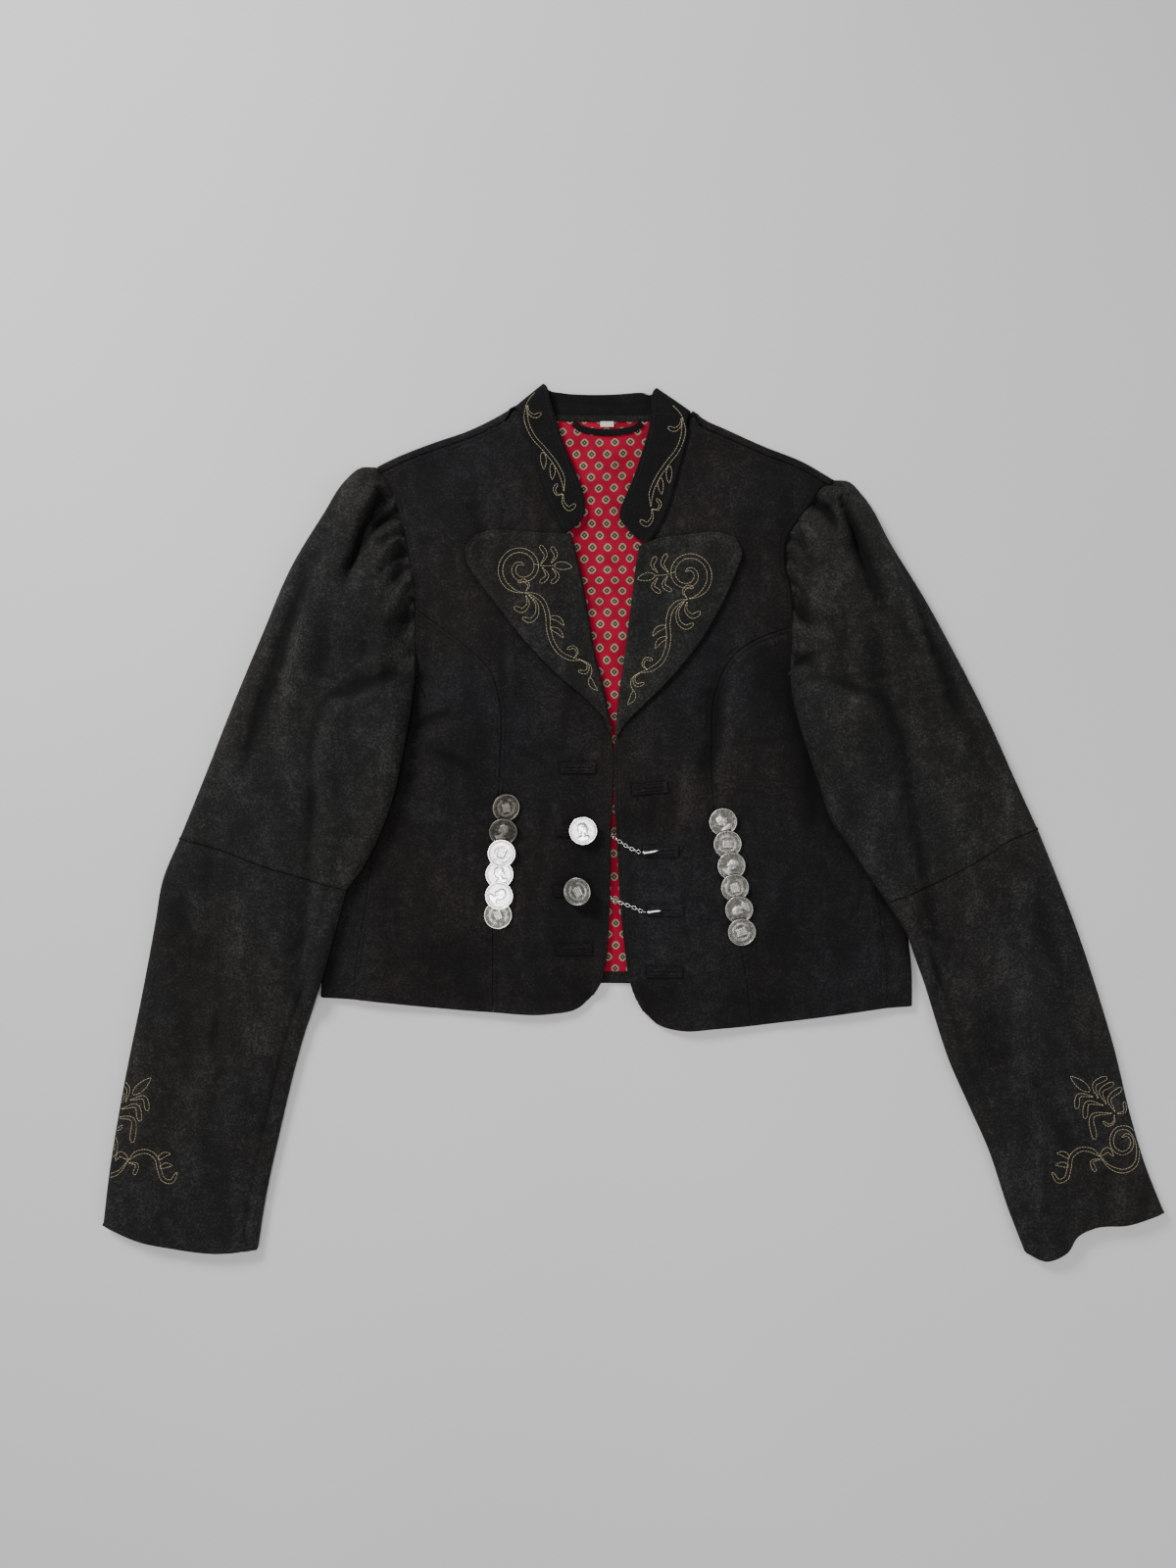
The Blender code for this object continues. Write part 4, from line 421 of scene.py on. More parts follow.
# Bust on the coins: rows of (x, y, half width, half height, turn in degrees, height)
BUST_FORMS = [
    (0.3, 2.4, 3.1, 3.7, -12, 0.62), (1.7, 1.0, 1.9, 2.9, 8, 0.52), (3.35, 1.25, 0.85, 0.95, 40, 0.42),
    (2.2, -1.35, 1.25, 0.95, 10, 0.46), (-0.9, 3.0, 3.3, 3.5, 20, 0.6), (-2.6, 0.2, 1.7, 2.4, -8, 0.5),
    (0.1, -2.6, 1.8, 3.0, -6, 0.45), (-0.6, -6.0, 5.4, 2.7, 4, 0.5), (2.95, -0.15, 0.6, 0.45, 0, 0.4)]

# Embroidery designs: rows of (shape, points of its middle line, half width at its widest)
LAPEL_DESIGN = [
    ("leaf", [(-64.5, 208.5), (-57, 208.4), (-50, 207.6)], 3.2),
    ("horn", [(-75.5, 209.5), (-71.6, 217), (-76, 224.6)], 2.2),
    ("horn", [(-67, 210.5), (-63.4, 217), (-67, 223.6)], 2.2),
    ("horn", [(-74.5, 207), (-70.4, 200), (-76, 194.2)], 2.2),
    ("horn", [(-66.5, 206.5), (-61.8, 200), (-67, 194)], 2.2),
    ("line", [(-81.4, 209.5), (-75, 208.2), (-64.5, 208.5)], 0),
    ("horn", [(-87.6, 187), (-85.4, 192), (-88.6, 195.8), (-94, 194.6)], 1.6),
    ("horn", [(-87.6, 184), (-85.8, 177), (-90.4, 171.6), (-97, 174)], 2.5),
    ("horn", [(-85.4, 184.4), (-79, 177), (-79.6, 167), (-84, 163.4), (-90.4, 165.4)], 2.3),
    ("stem", [(-88.6, 186), (-81, 184.5), (-74.6, 180), (-70.4, 170), (-69, 156), (-66, 146), (-59.5, 137),
              (-51, 132.8), (-42, 131.6)], 1.7),
    ("leaf", [(-68.4, 166.4), (-61.6, 165), (-56.4, 159.6)], 1.9),
    ("leaf", [(-68, 157.6), (-61.6, 155), (-57, 149.4)], 1.9),
    ("horn", [(-49, 132.8), (-45.8, 137.6), (-48.6, 142), (-54, 140.6)], 1.5),
    ("horn", [(-43, 131.6), (-37.4, 128), (-38.6, 122), (-45, 122.6)], 1.7),
    ("line", [(-42, 131.6), (-35, 127), (-34.2, 121.6), (-35.8, 117.4)], 0),
    ("leaf", [(-35.8, 117.4), (-34, 111.6), (-29.6, 107)], 2.1)]
LAPEL_SCROLL = (-91.0, 206.0, 20.0, 2.6, 275.0, -1.6, 1.8)   # centre, radii, start, turns, half width
COLLAR_DESIGN = [
    ("line", [(-87.4, 340.4), (-84.6, 345), (-80.4, 350)], 0),
    ("horn", [(-86.4, 339), (-85, 333), (-80.6, 330.4), (-75.4, 332.6)], 2.1),
    ("stem", [(-87.4, 340), (-87.6, 328), (-82, 314), (-72.4, 303), (-63.6, 291.6), (-58, 280.4),
              (-56.8, 269)], 1.6),
    ("leaf", [(-74.2, 301), (-73.4, 294), (-73, 287)], 2.3),
    ("leaf", [(-66.4, 292), (-66, 285), (-66.4, 278.6)], 2.2),
    ("horn", [(-57.6, 267), (-62.4, 266.4), (-64.6, 270.6), (-62, 275.2)], 1.4),
    ("horn", [(-57.6, 267), (-57, 259.4), (-52.6, 255), (-47.4, 258.6)], 2.3)]
CUFF_DESIGN = [
    ("leaf", [(370.6, -219), (362.6, -213), (354.4, -206.6)], 3.3),
    ("horn", [(377.4, -225), (374.4, -213.6), (384.6, -207.6)], 2.7),
    ("horn", [(384.4, -230), (380, -219), (390.4, -212.4)], 2.7),
    ("horn", [(391.6, -236), (386.8, -225.6), (397.6, -216.6)], 2.8),
    ("horn", [(393, -237.4), (400, -235.6), (399.6, -228)], 1.8),
    ("horn", [(373.6, -223.4), (361.4, -222.6), (359.6, -233)], 2.6),
    ("horn", [(382, -230.4), (368.4, -228.8), (366.6, -241)], 2.7),
    ("horn", [(389, -237), (373, -239), (374.6, -258)], 2.9),
    ("horn", [(391, -238), (390, -244.6), (386, -246.6), (381.6, -243.6)], 1.3),
    ("scroll", [(379, -272), (387, -280.4), (398, -283.6), (407, -279.6), (411, -269), (409, -257),
                (402, -249.4), (393, -250), (388.6, -257.4), (390.4, -265.6), (397.6, -269.4),
                (404.4, -265.4), (405.4, -258.6), (401, -254.6), (397, -256.6)], 1.5),
    ("scroll", [(379, -272), (371, -266.6), (362.6, -266.4), (355.8, -272), (354, -281.4), (351, -290),
                (345.6, -292), (340, -285)], 1.6),
    ("leaf", [(354.4, -273), (348.6, -269.6), (343.8, -269.4)], 1.9),
    ("leaf", [(353.4, -280), (348, -278.4), (343, -279)], 1.9),
    ("horn", [(379, -274), (372.4, -276), (375, -284)], 2.0),
    ("leaf", [(379, -271), (385.4, -266.6), (390, -271.6)], 2.0)]

# Painted shade and light on the suede. A shade is the amount beside a line and over what distance.
# Painted light on raised places and painted shade in hollows, read from the cloth's relief
PAINTED_SHADE_RELIEF = ((3, 0.6), (8, 0.35))         # grid lines between which relief is read, its weight
PAINTED_LIGHT_ON_RAISED = 0.35                         # on raised places
PAINTED_SHADE_IN_HOLLOWS = 0.9                           # in hollows
PAINTED_SHADE_RANGE = (-0.9, 0.6)
# Painted shadow beside the armholes and the buttonholes' welts; at the elbows and front seams a dark seam
# line
ARMHOLE_SHADE = {LEFT: (0.3, 2.5), RIGHT: (0.6, 4.5)}
HOLE_SHADE = (0.85, 1.2)
ELBOW_SHADE = (0.6, 1.2)
FRONT_SEAM_SHADE = (0.45, 1.1)

# Patterns of the suede and the lining. A noise scale is in waves a metre.
BRUSHING = (1.0, 0.3, 1.0)  # the streaks are three times longer along Y
STREAK_SCALE = 44.0         # 23 mm a wave
CLOUD_SCALE = 90.0          # 11 mm
TUFT_SCALE = 560.0          # 1.8 mm
DYE_SCALE = 8.0             # 125 mm
THREAD_SCALE = 220.0        # threads 1.4 mm apart, coarser than real ones so that they show
PRINT_PITCH = 12.5          # from ring to ring along a row, in millimetres
PRINT_ROW = 9.35            # from row to row

# Camera, lights and floor, in metres
CAMERA = (-0.0372, 0.0308, 0.968)
LENS = 27.03
LIGHTS = [("key", (-1.25, 1.35, 1.2), 0.7, 40.0), ("fill", (1.5, -0.5, 1.5), 1.4, 11.0),
          ("top", (-0.25, -0.33, 1.7), 0.8, 11.5)]    # name, place, size and power
LIGHTS_AIM = (-0.02, 0.0, 0.0)
WORLD_LIGHT = 0.3
FLOOR_HALF = 3.0
FLOOR_LEVEL = -0.0005


# Lines and patches in plan

def smooth_line(table, steps=240):
    """Dense line through a table's points: between neighbours a cubic, whose slope at each point is
    that of the run over the point's two neighbours."""
    p = np.array(table, float)
    run = np.concatenate([[0.0], np.cumsum(np.linalg.norm(np.diff(p, axis=0), axis=1))])
    slope = np.gradient(p, run, axis=0)
    at = np.linspace(0.0, run[-1], steps)
    k = np.clip(np.searchsorted(run, at, side="right") - 1, 0, len(run) - 2)
    span = (run[k + 1] - run[k])[:, None]
    f = (at - run[k])[:, None] / span
    return ((1 + 2 * f) * (1 - f) ** 2 * p[k] + f * (1 - f) ** 2 * span * slope[k]
            + f * f * (3 - 2 * f) * p[k + 1] + f * f * (f - 1) * span * slope[k + 1])


def chain_lines(*tables):
    """One line through several tables, smooth along each and with a corner where two meet."""
    return np.vstack([smooth_line(t) for t in tables])


def along(line, share):
    """Points at the given shares of a line's length."""
    run = np.concatenate([[0.0], np.cumsum(np.linalg.norm(np.diff(line, axis=0), axis=1))])
    run /= run[-1]
    return np.stack([np.interp(share, run, line[:, i]) for i in range(line.shape[1])], axis=-1)


def length(line):
    """Length of a line."""
    return np.linalg.norm(np.diff(line, axis=0), axis=1).sum()


def trimmed(bottom, top, left, right):
    """Four sides of a patch, cut where they come nearest each other so that they share corners."""
    def cut(a, a_end, b, b_end):
        away = np.linalg.norm(a[:, None] - b[None], axis=2)
        i, j = np.unravel_index(away.argmin(), away.shape)
        a = a[:i + 1].copy() if a_end else a[i:].copy()
        b = b[:j + 1].copy() if b_end else b[j:].copy()
        a[-1 if a_end else 0] = b[-1 if b_end else 0]
        return a, b

    bottom, left = cut(bottom, False, left, False)
    bottom, right = cut(bottom, True, right, False)
    top, left = cut(top, False, left, True)
    top, right = cut(top, True, right, True)
    return bottom, top, left, right


def patch(bottom, top, left, right, u, v, v_right=None, weight=None):
    """Plan points of a four-sided patch: straight rows from side to side, bent like the bottom and
    the top by weights that sum to one. The right side may have its own shares, where a corner lies
    elsewhere on it."""
    u, v = np.broadcast_arrays(u, v)
    v_right = v if v_right is None else np.broadcast_to(v_right, v.shape)
    weight = v if weight is None else np.broadcast_to(weight, v.shape)
    low, high, west, east = along(bottom, u), along(top, u), along(left, v), along(right, v_right)
    u, weight = u[..., None], weight[..., None]
    bend_low = low - (1 - u) * bottom[0] - u * bottom[-1]
    bend_high = high - (1 - u) * top[0] - u * top[-1]
    return (1 - u) * west + u * east + (1 - weight) * bend_low + weight * bend_high


def distance(x, y, line):
    """Distance from each point to a dense line, positive on the line's left-hand side."""
    a, b = line[:-1], line[1:]
    step = b - a
    size = np.maximum((step ** 2).sum(1), 1e-9)
    px, py = x[..., None] - a[:, 0], y[..., None] - a[:, 1]
    share = np.clip((px * step[:, 0] + py * step[:, 1]) / size, 0, 1)
    ox, oy = px - share * step[:, 0], py - share * step[:, 1]
    away = np.hypot(ox, oy)
    near = away.argmin(-1)[..., None]
    side = np.take_along_axis(step[:, 0] * oy - step[:, 1] * ox, near, -1)[..., 0]
    return np.take_along_axis(away, near, -1)[..., 0] * np.where(side < 0, -1.0, 1.0)


def ease(share):
    """Smooth step from 0 to 1."""
    share = np.clip(share, 0.0, 1.0)
    return share * share * (3 - 2 * share)


def folds(x, y, table, power=2.0):
    """Sum of soft ridges and troughs: across its line each is exp(-(distance / half width)**power),
    and it fades out at both ends."""
    total = np.zeros(np.shape(x))
    for x0, y0, x1, y1, x2, y2, height, half in table:
        line = smooth_line([(x0, y0), (x1, y1), (x2, y2)], 14)
        near = np.hypot(x[..., None] - line[:, 0], y[..., None] - line[:, 1]).argmin(-1)
        share = near / (len(line) - 1)
        fade = ease(share / 0.18 + 0.35) * ease((1 - share) / 0.4)
        total = total + height * fade * np.exp(-(np.abs(distance(x, y, line)) / half) ** power)
    return total


def spun(x, y, degrees):
    """Coordinates turned anticlockwise about the origin."""
    c, s = math.cos(math.radians(degrees)), math.sin(math.radians(degrees))
    return x * c - y * s, x * s + y * c


def shifted(line, gap):
    """A line moved to its left-hand side by a gap."""
    step = np.gradient(line, axis=0)
    step /= np.linalg.norm(step, axis=1)[:, None]
    return line + gap * np.stack([-step[:, 1], step[:, 0]], 1)


def spaced(count):
    return np.linspace(0.0, 1.0, count)


def uneven(x, y, size, seed):
    """Soft unevenness between -1 and 1: random values on a square lattice of the given size, eased
    from knot to knot along both axes."""
    knots = np.random.RandomState(seed).uniform(-1, 1, (96, 96))
    gx, gy = x / size + 47.3, y / size + 41.7
    i, j = np.floor(gx).astype(int), np.floor(gy).astype(int)
    fx, fy = ease(gx - i), ease(gy - j)
    i, j = i % 95, j % 95
    low = knots[i, j] * (1 - fx) + knots[i + 1, j] * fx
    high = knots[i, j + 1] * (1 - fx) + knots[i + 1, j + 1] * fx
    return low * (1 - fy) + high * fy


# Heights, worked out once on a fine lattice in plan and read between its knots

RIM = {side: chain_lines(SIDE_EDGE[side], [SIDE_EDGE[side][-1], UNDERARM[side][-1]], UNDERARM[side][::-1])
       for side in SIDES}
OUTLINE = {side: np.vstack([RIM[side], chain_lines(ARMHOLE[side][::-1], SHOULDER[side], NECK[side][::-1],
                                                   EDGE[side][::-1])])
           for side in SIDES}
BUSTS = ((-114.0, 108.0), (82.0, 106.0))
KNOT = 1.6
LATTICE_X = np.arange(-300.0, 262.0, KNOT)
LATTICE_Y = np.arange(-200.0, 372.0, KNOT)


def lattice(function):
    """Values of a function of x and y on the lattice, a strip at a time."""
    return np.concatenate([function(*np.meshgrid(LATTICE_X, strip))
                           for strip in np.array_split(LATTICE_Y, 16)])


def between(values, x, y):
    """Value between the lattice's knots, straight along x and along y."""
    gx = np.clip((x - LATTICE_X[0]) / KNOT, 0, len(LATTICE_X) - 1.001)
    gy = np.clip((y - LATTICE_Y[0]) / KNOT, 0, len(LATTICE_Y) - 1.001)
    i, j = gx.astype(int), gy.astype(int)
    fx, fy = gx - i, gy - j
    low = values[j, i] * (1 - fx) + values[j, i + 1] * fx
    high = values[j + 1, i] * (1 - fx) + values[j + 1, i + 1] * fx
    return low * (1 - fy) + high * fy


def front_form(x, y):
    """Outer face of the fronts: low along every edge, risen inside, with the bust, soft folds, a
    waved fall at the hem where the fronts pass the back, and the suede's small unevenness."""
    depth = np.where(x < CENTRE_FRONT, np.abs(distance(x, y, OUTLINE[LEFT][::4])),
                     np.abs(distance(x, y, OUTLINE[RIGHT][::4])))
    inside = ease(depth / RISE_RUN)
    z = EDGE_HEIGHT + FRONT_RISE * inside
    for bx, by in BUSTS:
        z = z + BUST_RISE * np.exp(-((x - bx) ** 2 + (y - by) ** 2) / BUST_SPREAD ** 2) * inside
    z = z + folds(x, y, BODY_FOLDS) * inside + folds(x, y, BODY_CREASES) * ease(depth / 12)
    for side in SIDES:
        px, py = ARMHOLE[side][-1]
        z = z - UNDERARM_DROP * np.exp(-((x - px) ** 2 + (y - py) ** 2) / UNDERARM_SPREAD ** 2)
    hem = smooth_line(BACK_HEM)
    past = np.interp(x, hem[:, 0], hem[:, 1]) - y
    fall = ease((past - HEM_FALL[0]) / (HEM_FALL[1] - HEM_FALL[0]))
    wave = sum(h * np.exp(-((x - wx) / half) ** 2) for wx, h, half in HEM_WAVES)
    z = z - fall * HEM_DROP * ease(depth / 12.0 + 0.2) + wave * ease((past + 60) / 70) * inside
    return z + 0.3 * uneven(x, y, 34.0, 3) * ease(depth / 20) + 0.1 * uneven(x, y, 13.0, 4)


FRONT_LATTICE = lattice(front_form)
RIM_LATTICE = {side: lattice(lambda x, y: side * distance(x, y, RIM[side][::4])) for side in SIDES}


def front_height(x, y):
    return between(FRONT_LATTICE, x, y)


def lift(x, y, side):
    """Height that the sleeve's underside keeps above the surface: over the body it lies on the front,
    and it comes down to the surface beyond the body's side."""
    depth = between(RIM_LATTICE[side], x, y)
    return (front_height(x, y) + LIFT_REST) * ease((depth + LIFT_RUN) / (LIFT_RUN - LIFT_EARLY))


# Meshes

GRIDS = {}                  # outer faces of the cloth pieces, for what is sewn on them


def unit(vectors):
    return vectors / np.maximum(np.linalg.norm(vectors, axis=-1, keepdims=True), 1e-9)


def normals(points, loop=False):
    """Unit normals of a grid: the cross product of its steps along columns and along rows."""
    if loop:
        across = np.roll(points, -1, 1) - np.roll(points, 1, 1)
    else:
        across = np.gradient(points, axis=1)
    return unit(np.cross(across, np.gradient(points, axis=0)))


def run_along(points, axis):
    """Distance run along a grid's lines from their start."""
    steps = np.linalg.norm(np.diff(points, axis=axis), axis=-1)
    start = np.zeros_like(np.take(steps, [0], axis=axis))
    return np.cumsum(np.concatenate([start, steps], axis=axis), axis=axis)


def rim_distance(points, loop=False):
    """Distance of each point of a grid from its nearest end, measured along its lines."""
    away = []
    for axis in (0,) if loop else (0, 1):
        run = run_along(points, axis)
        away += [run, np.take(run, [-1], axis=axis) - run]
    return np.minimum.reduce([np.broadcast_to(a, points.shape[:2]) for a in away])


def grid_quads(index, loop=False):
    if loop:
        index = np.concatenate([index, index[:, :1]], 1)
    return np.stack([index[:-1, :-1], index[:-1, 1:], index[1:, 1:], index[1:, :-1]], -1).reshape(-1, 4)


def add_mesh(name, points, faces, surface):
    """A mesh of points in millimetres and faces, as a piece that rides on the jacket."""
    mesh = bpy.data.meshes.new(name)
    mesh.from_pydata((points.reshape(-1, 3) * MM).tolist(), [], faces)
    mesh.polygons.foreach_set("use_smooth", np.full(len(mesh.polygons), True))
    made = bpy.data.objects.new(name, mesh)
    mesh.materials.append(FINISHES[surface])
    bpy.context.scene.collection.objects.link(made)
    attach(made, "root")
    return made


def mark(made, name, values):
    """Stores one number a point for the material."""
    made.data.attributes.new(name, "FLOAT", "POINT").data.foreach_set("value", values)


def nap_tone(points, loop, shades):
    """Painted shade and light on the suede, about 0.5: painted light by (height over the mean of the points 3
    and 8 grid lines away), painted shade in hollows; soft ellipses exp(-(u*u + v*v)**1.5) of the tone
    table; and a dark line of painted shadow exp(-distance / half) beside each piece that lies on it."""
    rows, columns = points.shape[:2]
    relief = 0.0
    for step, weight in PAINTED_SHADE_RELIEF:
        up = np.clip(np.arange(rows) + step, 0, rows - 1)
        down = np.clip(np.arange(rows) - step, 0, rows - 1)
        if loop:
            left, right = np.roll(points, step, 1), np.roll(points, -step, 1)
        else:
            left = points[:, np.clip(np.arange(columns) + step, 0, columns - 1)]
            right = points[:, np.clip(np.arange(columns) - step, 0, columns - 1)]
        over = points - (points[up] + points[down] + left + right) / 4
        relief = relief + weight * (over * normals(points, loop)).sum(-1)
    tone = np.where(relief > 0, PAINTED_LIGHT_ON_RAISED, PAINTED_SHADE_IN_HOLLOWS) * np.tanh(relief / 1.1)
    x, y = points[..., 0], points[..., 1]
    for cx, cy, long, short, turn, amount in TONES:
        u, v = spun(x - cx, y - cy, -turn)
        tone = tone + amount * np.exp(-((u / long) ** 2 + (v / short) ** 2) ** 1.5)
    for line, amount, half in shades:
        tone = tone - amount * np.exp(-np.abs(distance(x, y, line)) / half)
    return 0.5 + 0.5 * np.clip(tone, *PAINTED_SHADE_RANGE)


def walled(name, points, wall, surface, nodes, facing="up", loop=False, shades=()):
    """Cloth of a given wall on a grid of points. Its outer face runs through the grid and its inner
    face lies one wall below along the normals. Near the rim both bend in by
    r - sqrt(r*r - (r - distance)**2), with r half the wall, so they meet there in a half round."""
    points = flipped(points, facing, loop)
    normal = normals(points, loop)
    if facing == "down":
        normal = np.where(points[..., 2:] < FLAT, (0.0, 0.0, -1.0), normal)
    half = wall / 2
    share = np.clip(rim_distance(points, loop) / half, 0, 1)
    bend = (half * (1 - np.sqrt(1 - (1 - share) ** 2)))[..., None]
    outer, inner = points - normal * bend, points - normal * (wall - bend)
    outer[..., 2], inner[..., 2] = np.maximum(outer[..., 2], 0), np.maximum(inner[..., 2], 0)
    rows, columns = points.shape[:2]
    index = np.arange(rows * columns).reshape(rows, columns)
    rim = np.zeros((rows, columns), bool)
    rim[[0, -1]] = True
    if not loop:
        rim[:, [0, -1]] = True
    back = index.copy()
    back[~rim] = rows * columns + np.arange((~rim).sum())
    faces = np.vstack([grid_quads(index, loop), grid_quads(back, loop)[:, ::-1]])
    made = add_mesh(name, np.vstack([outer.reshape(-1, 3), inner[~rim]]), faces.tolist(), surface)
    # Suede keeps its painted shade and light as a point attribute for the material
    if surface.startswith("suede"):
        tone = nap_tone(points, loop, shades)
        mark(made, "nap", np.concatenate([tone.ravel(), tone[~rim]]))
    if nodes:
        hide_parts(*nodes)
    if loop:
        points = np.concatenate([points, points[:, :1]], 1)
    GRIDS[name] = outer


def flipped(points, facing, loop):
    """The grid turned so that its normals point out: up, down, up in its first column, or away from
    the middle of a tube."""
    normal = normals(points, loop)
    if facing == "tube":
        value = (normal * (points - points.mean(1, keepdims=True))).sum()
    elif facing == "first":
        value = normal[:, 0, 2].sum()
    else:
        value = normal[..., 2].sum() * (1 if facing == "up" else -1)
    return points[:, ::-1] if value < 0 else points


def rim_shares(long, count, steps):
    """Shares along lines of the given lengths: at fixed distances from both ends and even between."""
    long = np.asarray(long, float)[:, None]
    near = np.asarray(steps) / long * np.minimum(1, long / (3 * steps[-1]))
    middle = near[:, -1:] + (1 - 2 * near[:, -1:]) * spaced(count)[1:-1]
    return np.concatenate([near, middle, 1 - near[:, ::-1]], 1)


def fine_patch(sides, pitch, steps):
    """Plan grid of a four-sided patch, with rows and columns at the same distances from its rim all
    round and about one pitch apart inside."""
    bottom, top, left, right = sides
    v = spaced(9)
    wide = np.linalg.norm(along(right, v) - along(left, v), axis=1)
    high = np.linalg.norm(along(top, v) - along(bottom, v), axis=1)
    rows, columns = int(length(left) / pitch) + 2, int(wide.max() / pitch) + 2
    first = np.interp(spaced(rows + 2 * len(steps) - 2), v, wide)
    second = np.interp(spaced(columns + 2 * len(steps) - 2), v, high)
    u = rim_shares(first, columns, steps)
    v = rim_shares(second, rows, steps).T
    return patch(*sides, u, v)


def rings(line, one, two, sides, start=0.0):
    """A ring of points about each point of a line: the point + one * cos(t) + two * sin(t)."""
    turn = (np.arange(sides) * 2 * math.pi / sides + start)[:, None]
    return line[..., None, :] + one[..., None, :] * np.cos(turn) + two[..., None, :] * np.sin(turn)


def tube(line, wide, high, sides, first, start=0.0):
    """Points and faces of a tube round a line: rings that reach wide level across the line and high
    upright across it, with a flat face at both ends. The points are numbered from first."""
    step = unit(np.gradient(line, axis=0))
    level = unit(np.cross(step, UP))
    upright = np.cross(level, step)
    index = np.arange(len(line) * sides).reshape(-1, sides) + first
    faces = grid_quads(index[:, ::-1], loop=True).tolist() + [index[0].tolist(), index[-1, ::-1].tolist()]
    return rings(line, wide[:, None] * level, high[:, None] * upright, sides, start), faces


# Fronts, sides, back and lining

def pucker(points):
    """Sewn rim: the cloth swells beside the seam, sinks in the line of its stitches and is drawn in
    small uneven puckers along it, all fading out within a finger's width."""
    away = rim_distance(points)
    x, y = points[..., 0], points[..., 1]
    swell = 0.34 * ease(away / 2.4) * (1 - ease((away - 5.0) / 9.0))
    groove = -0.42 * np.exp(-((away - STITCH_IN) / 0.75) ** 2)
    small = 0.26 * uneven(x, y, 5.2, 11) * ease(away / 1.5) * (1 - ease((away - 3.0) / 8.0))
    points = points.copy()
    points[..., 2] += swell + groove + small
    return points


def raised(plan):
    return np.dstack([plan, front_height(plan[..., 0], plan[..., 1])])


def beside(side):
    """Lines of what lies on one side of the body, each with how dark the painted shadow beside it is and
    over what distance."""
    rows = ((UPPER_INNER, 0.75, 6.0), (LOWER_INNER, 0.7, 6.0), (ARMHOLE, *ARMHOLE_SHADE[side]),
            (LAPEL_LOOSE, 0.75, 2.6), (LAPEL_TOP, 0.4, 2.0))
    lines = [(smooth_line(table[side])[::3], amount, half) for table, amount, half in rows]
    corner_x = np.array([-1, 1, 1, -1, -1]) * HOLE_LENGTH / 2
    corner_y = np.array([-1, -1, 1, 1, -1]) * HOLE_WIDTH / 2
    for x, y, turn in HOLES[side]:
        lines.append((np.stack(spun(corner_x, corner_y, turn), 1) + (x, y), *HOLE_SHADE))
    return lines


def front_panels(side):
    """Front and front side panel of one side, raised to the front's height, with puckered rims."""
    word, inward = WORD[side], SEAM / 2 * -side
    join, cap = smooth_line(PRINCESS[side]), smooth_line(ARMHOLE[side][::-1])
    split = np.abs(cap[:, 1] - PRINCESS[side][-1][1]).argmin()
    above = shifted(cap[split:], -UNDER_SLEEVE * side)
    below = shifted(cap[:split + 1], -UNDER_SLEEVE * side)
    hem, shoulder = smooth_line(HEM[side]), smooth_line(SHOULDER[side])
    rolled = np.interp(length(shoulder) * (1 - spaced(len(shoulder))), (0, NECK_POINT_RUN),
                       (NECK_POINT_WRAP, 1))
    wrap = shifted(shoulder, (SHOULDER_WRAP * rolled + SEAM)[:, None] * side)
    front = trimmed(hem, wrap, np.vstack([shifted(join, -inward), above]),
                    np.vstack([smooth_line(EDGE[side]), smooth_line(NECK[side])]))
    flank = trimmed(hem, np.vstack([shifted(smooth_line(UNDERARM[side][::-1]), -inward), below]),
                    shifted(smooth_line(SIDE_SEAM[side]), -inward), shifted(join, inward))
    for node, sides in ((f"front_{word}", front), (f"front_side_{word}", flank)):
        grid = raised(fine_patch(sides, FRONT_PITCH, SEWN_STEPS))
        walled(f"{node}_suede", pucker(grid), SUEDE, "suede_body", [node],
               shades=beside(side))


def side_panel(side):
    """Side panel: from the side seam flat to the edge, round it in a half ellipse
    (reach = roll * (1 - cos t), height = half + half * sin t), and back flat under the body."""
    edge, seam = smooth_line(SIDE_EDGE[side]), smooth_line(SIDE_SEAM[side])
    share = rim_shares([length(edge)], 90, SEWN_STEPS)[0]
    rim = along(edge, share)
    across = along(shifted(seam, SEAM / 2 * -side), share) - rim
    wide = np.linalg.norm(across, axis=1)
    half = front_height(*(rim + across * (SIDE_ROLL / wide)[:, None]).T) / 2
    columns = []
    for away in (*SEWN_STEPS, 10.0):
        spot = rim + across * (1 - np.minimum(away, (wide - SIDE_ROLL) * 0.09 * away) / wide)[:, None]
        columns.append(np.column_stack([spot, front_height(*spot.T)]))
    for turn in np.radians(np.linspace(90, -90, 17)):
        spot = rim + across * (SIDE_ROLL * (1 - math.cos(turn)) / wide)[:, None]
        columns.append(np.column_stack([spot, half + half * math.sin(turn)]))
    for part in (0.35, 0.55, SIDE_UNDER - 0.02, SIDE_UNDER):
        spot = rim + across * np.maximum(part, SIDE_ROLL / wide + 0.01 * part)[:, None]
        columns.append(np.column_stack([spot, np.zeros(len(rim))]))
    walled(f"side_{WORD[side]}_suede", np.stack(columns, 1), BACK_WALL, "suede_body",
           [f"side_{WORD[side]}"], facing="first", shades=beside(side)[:2])


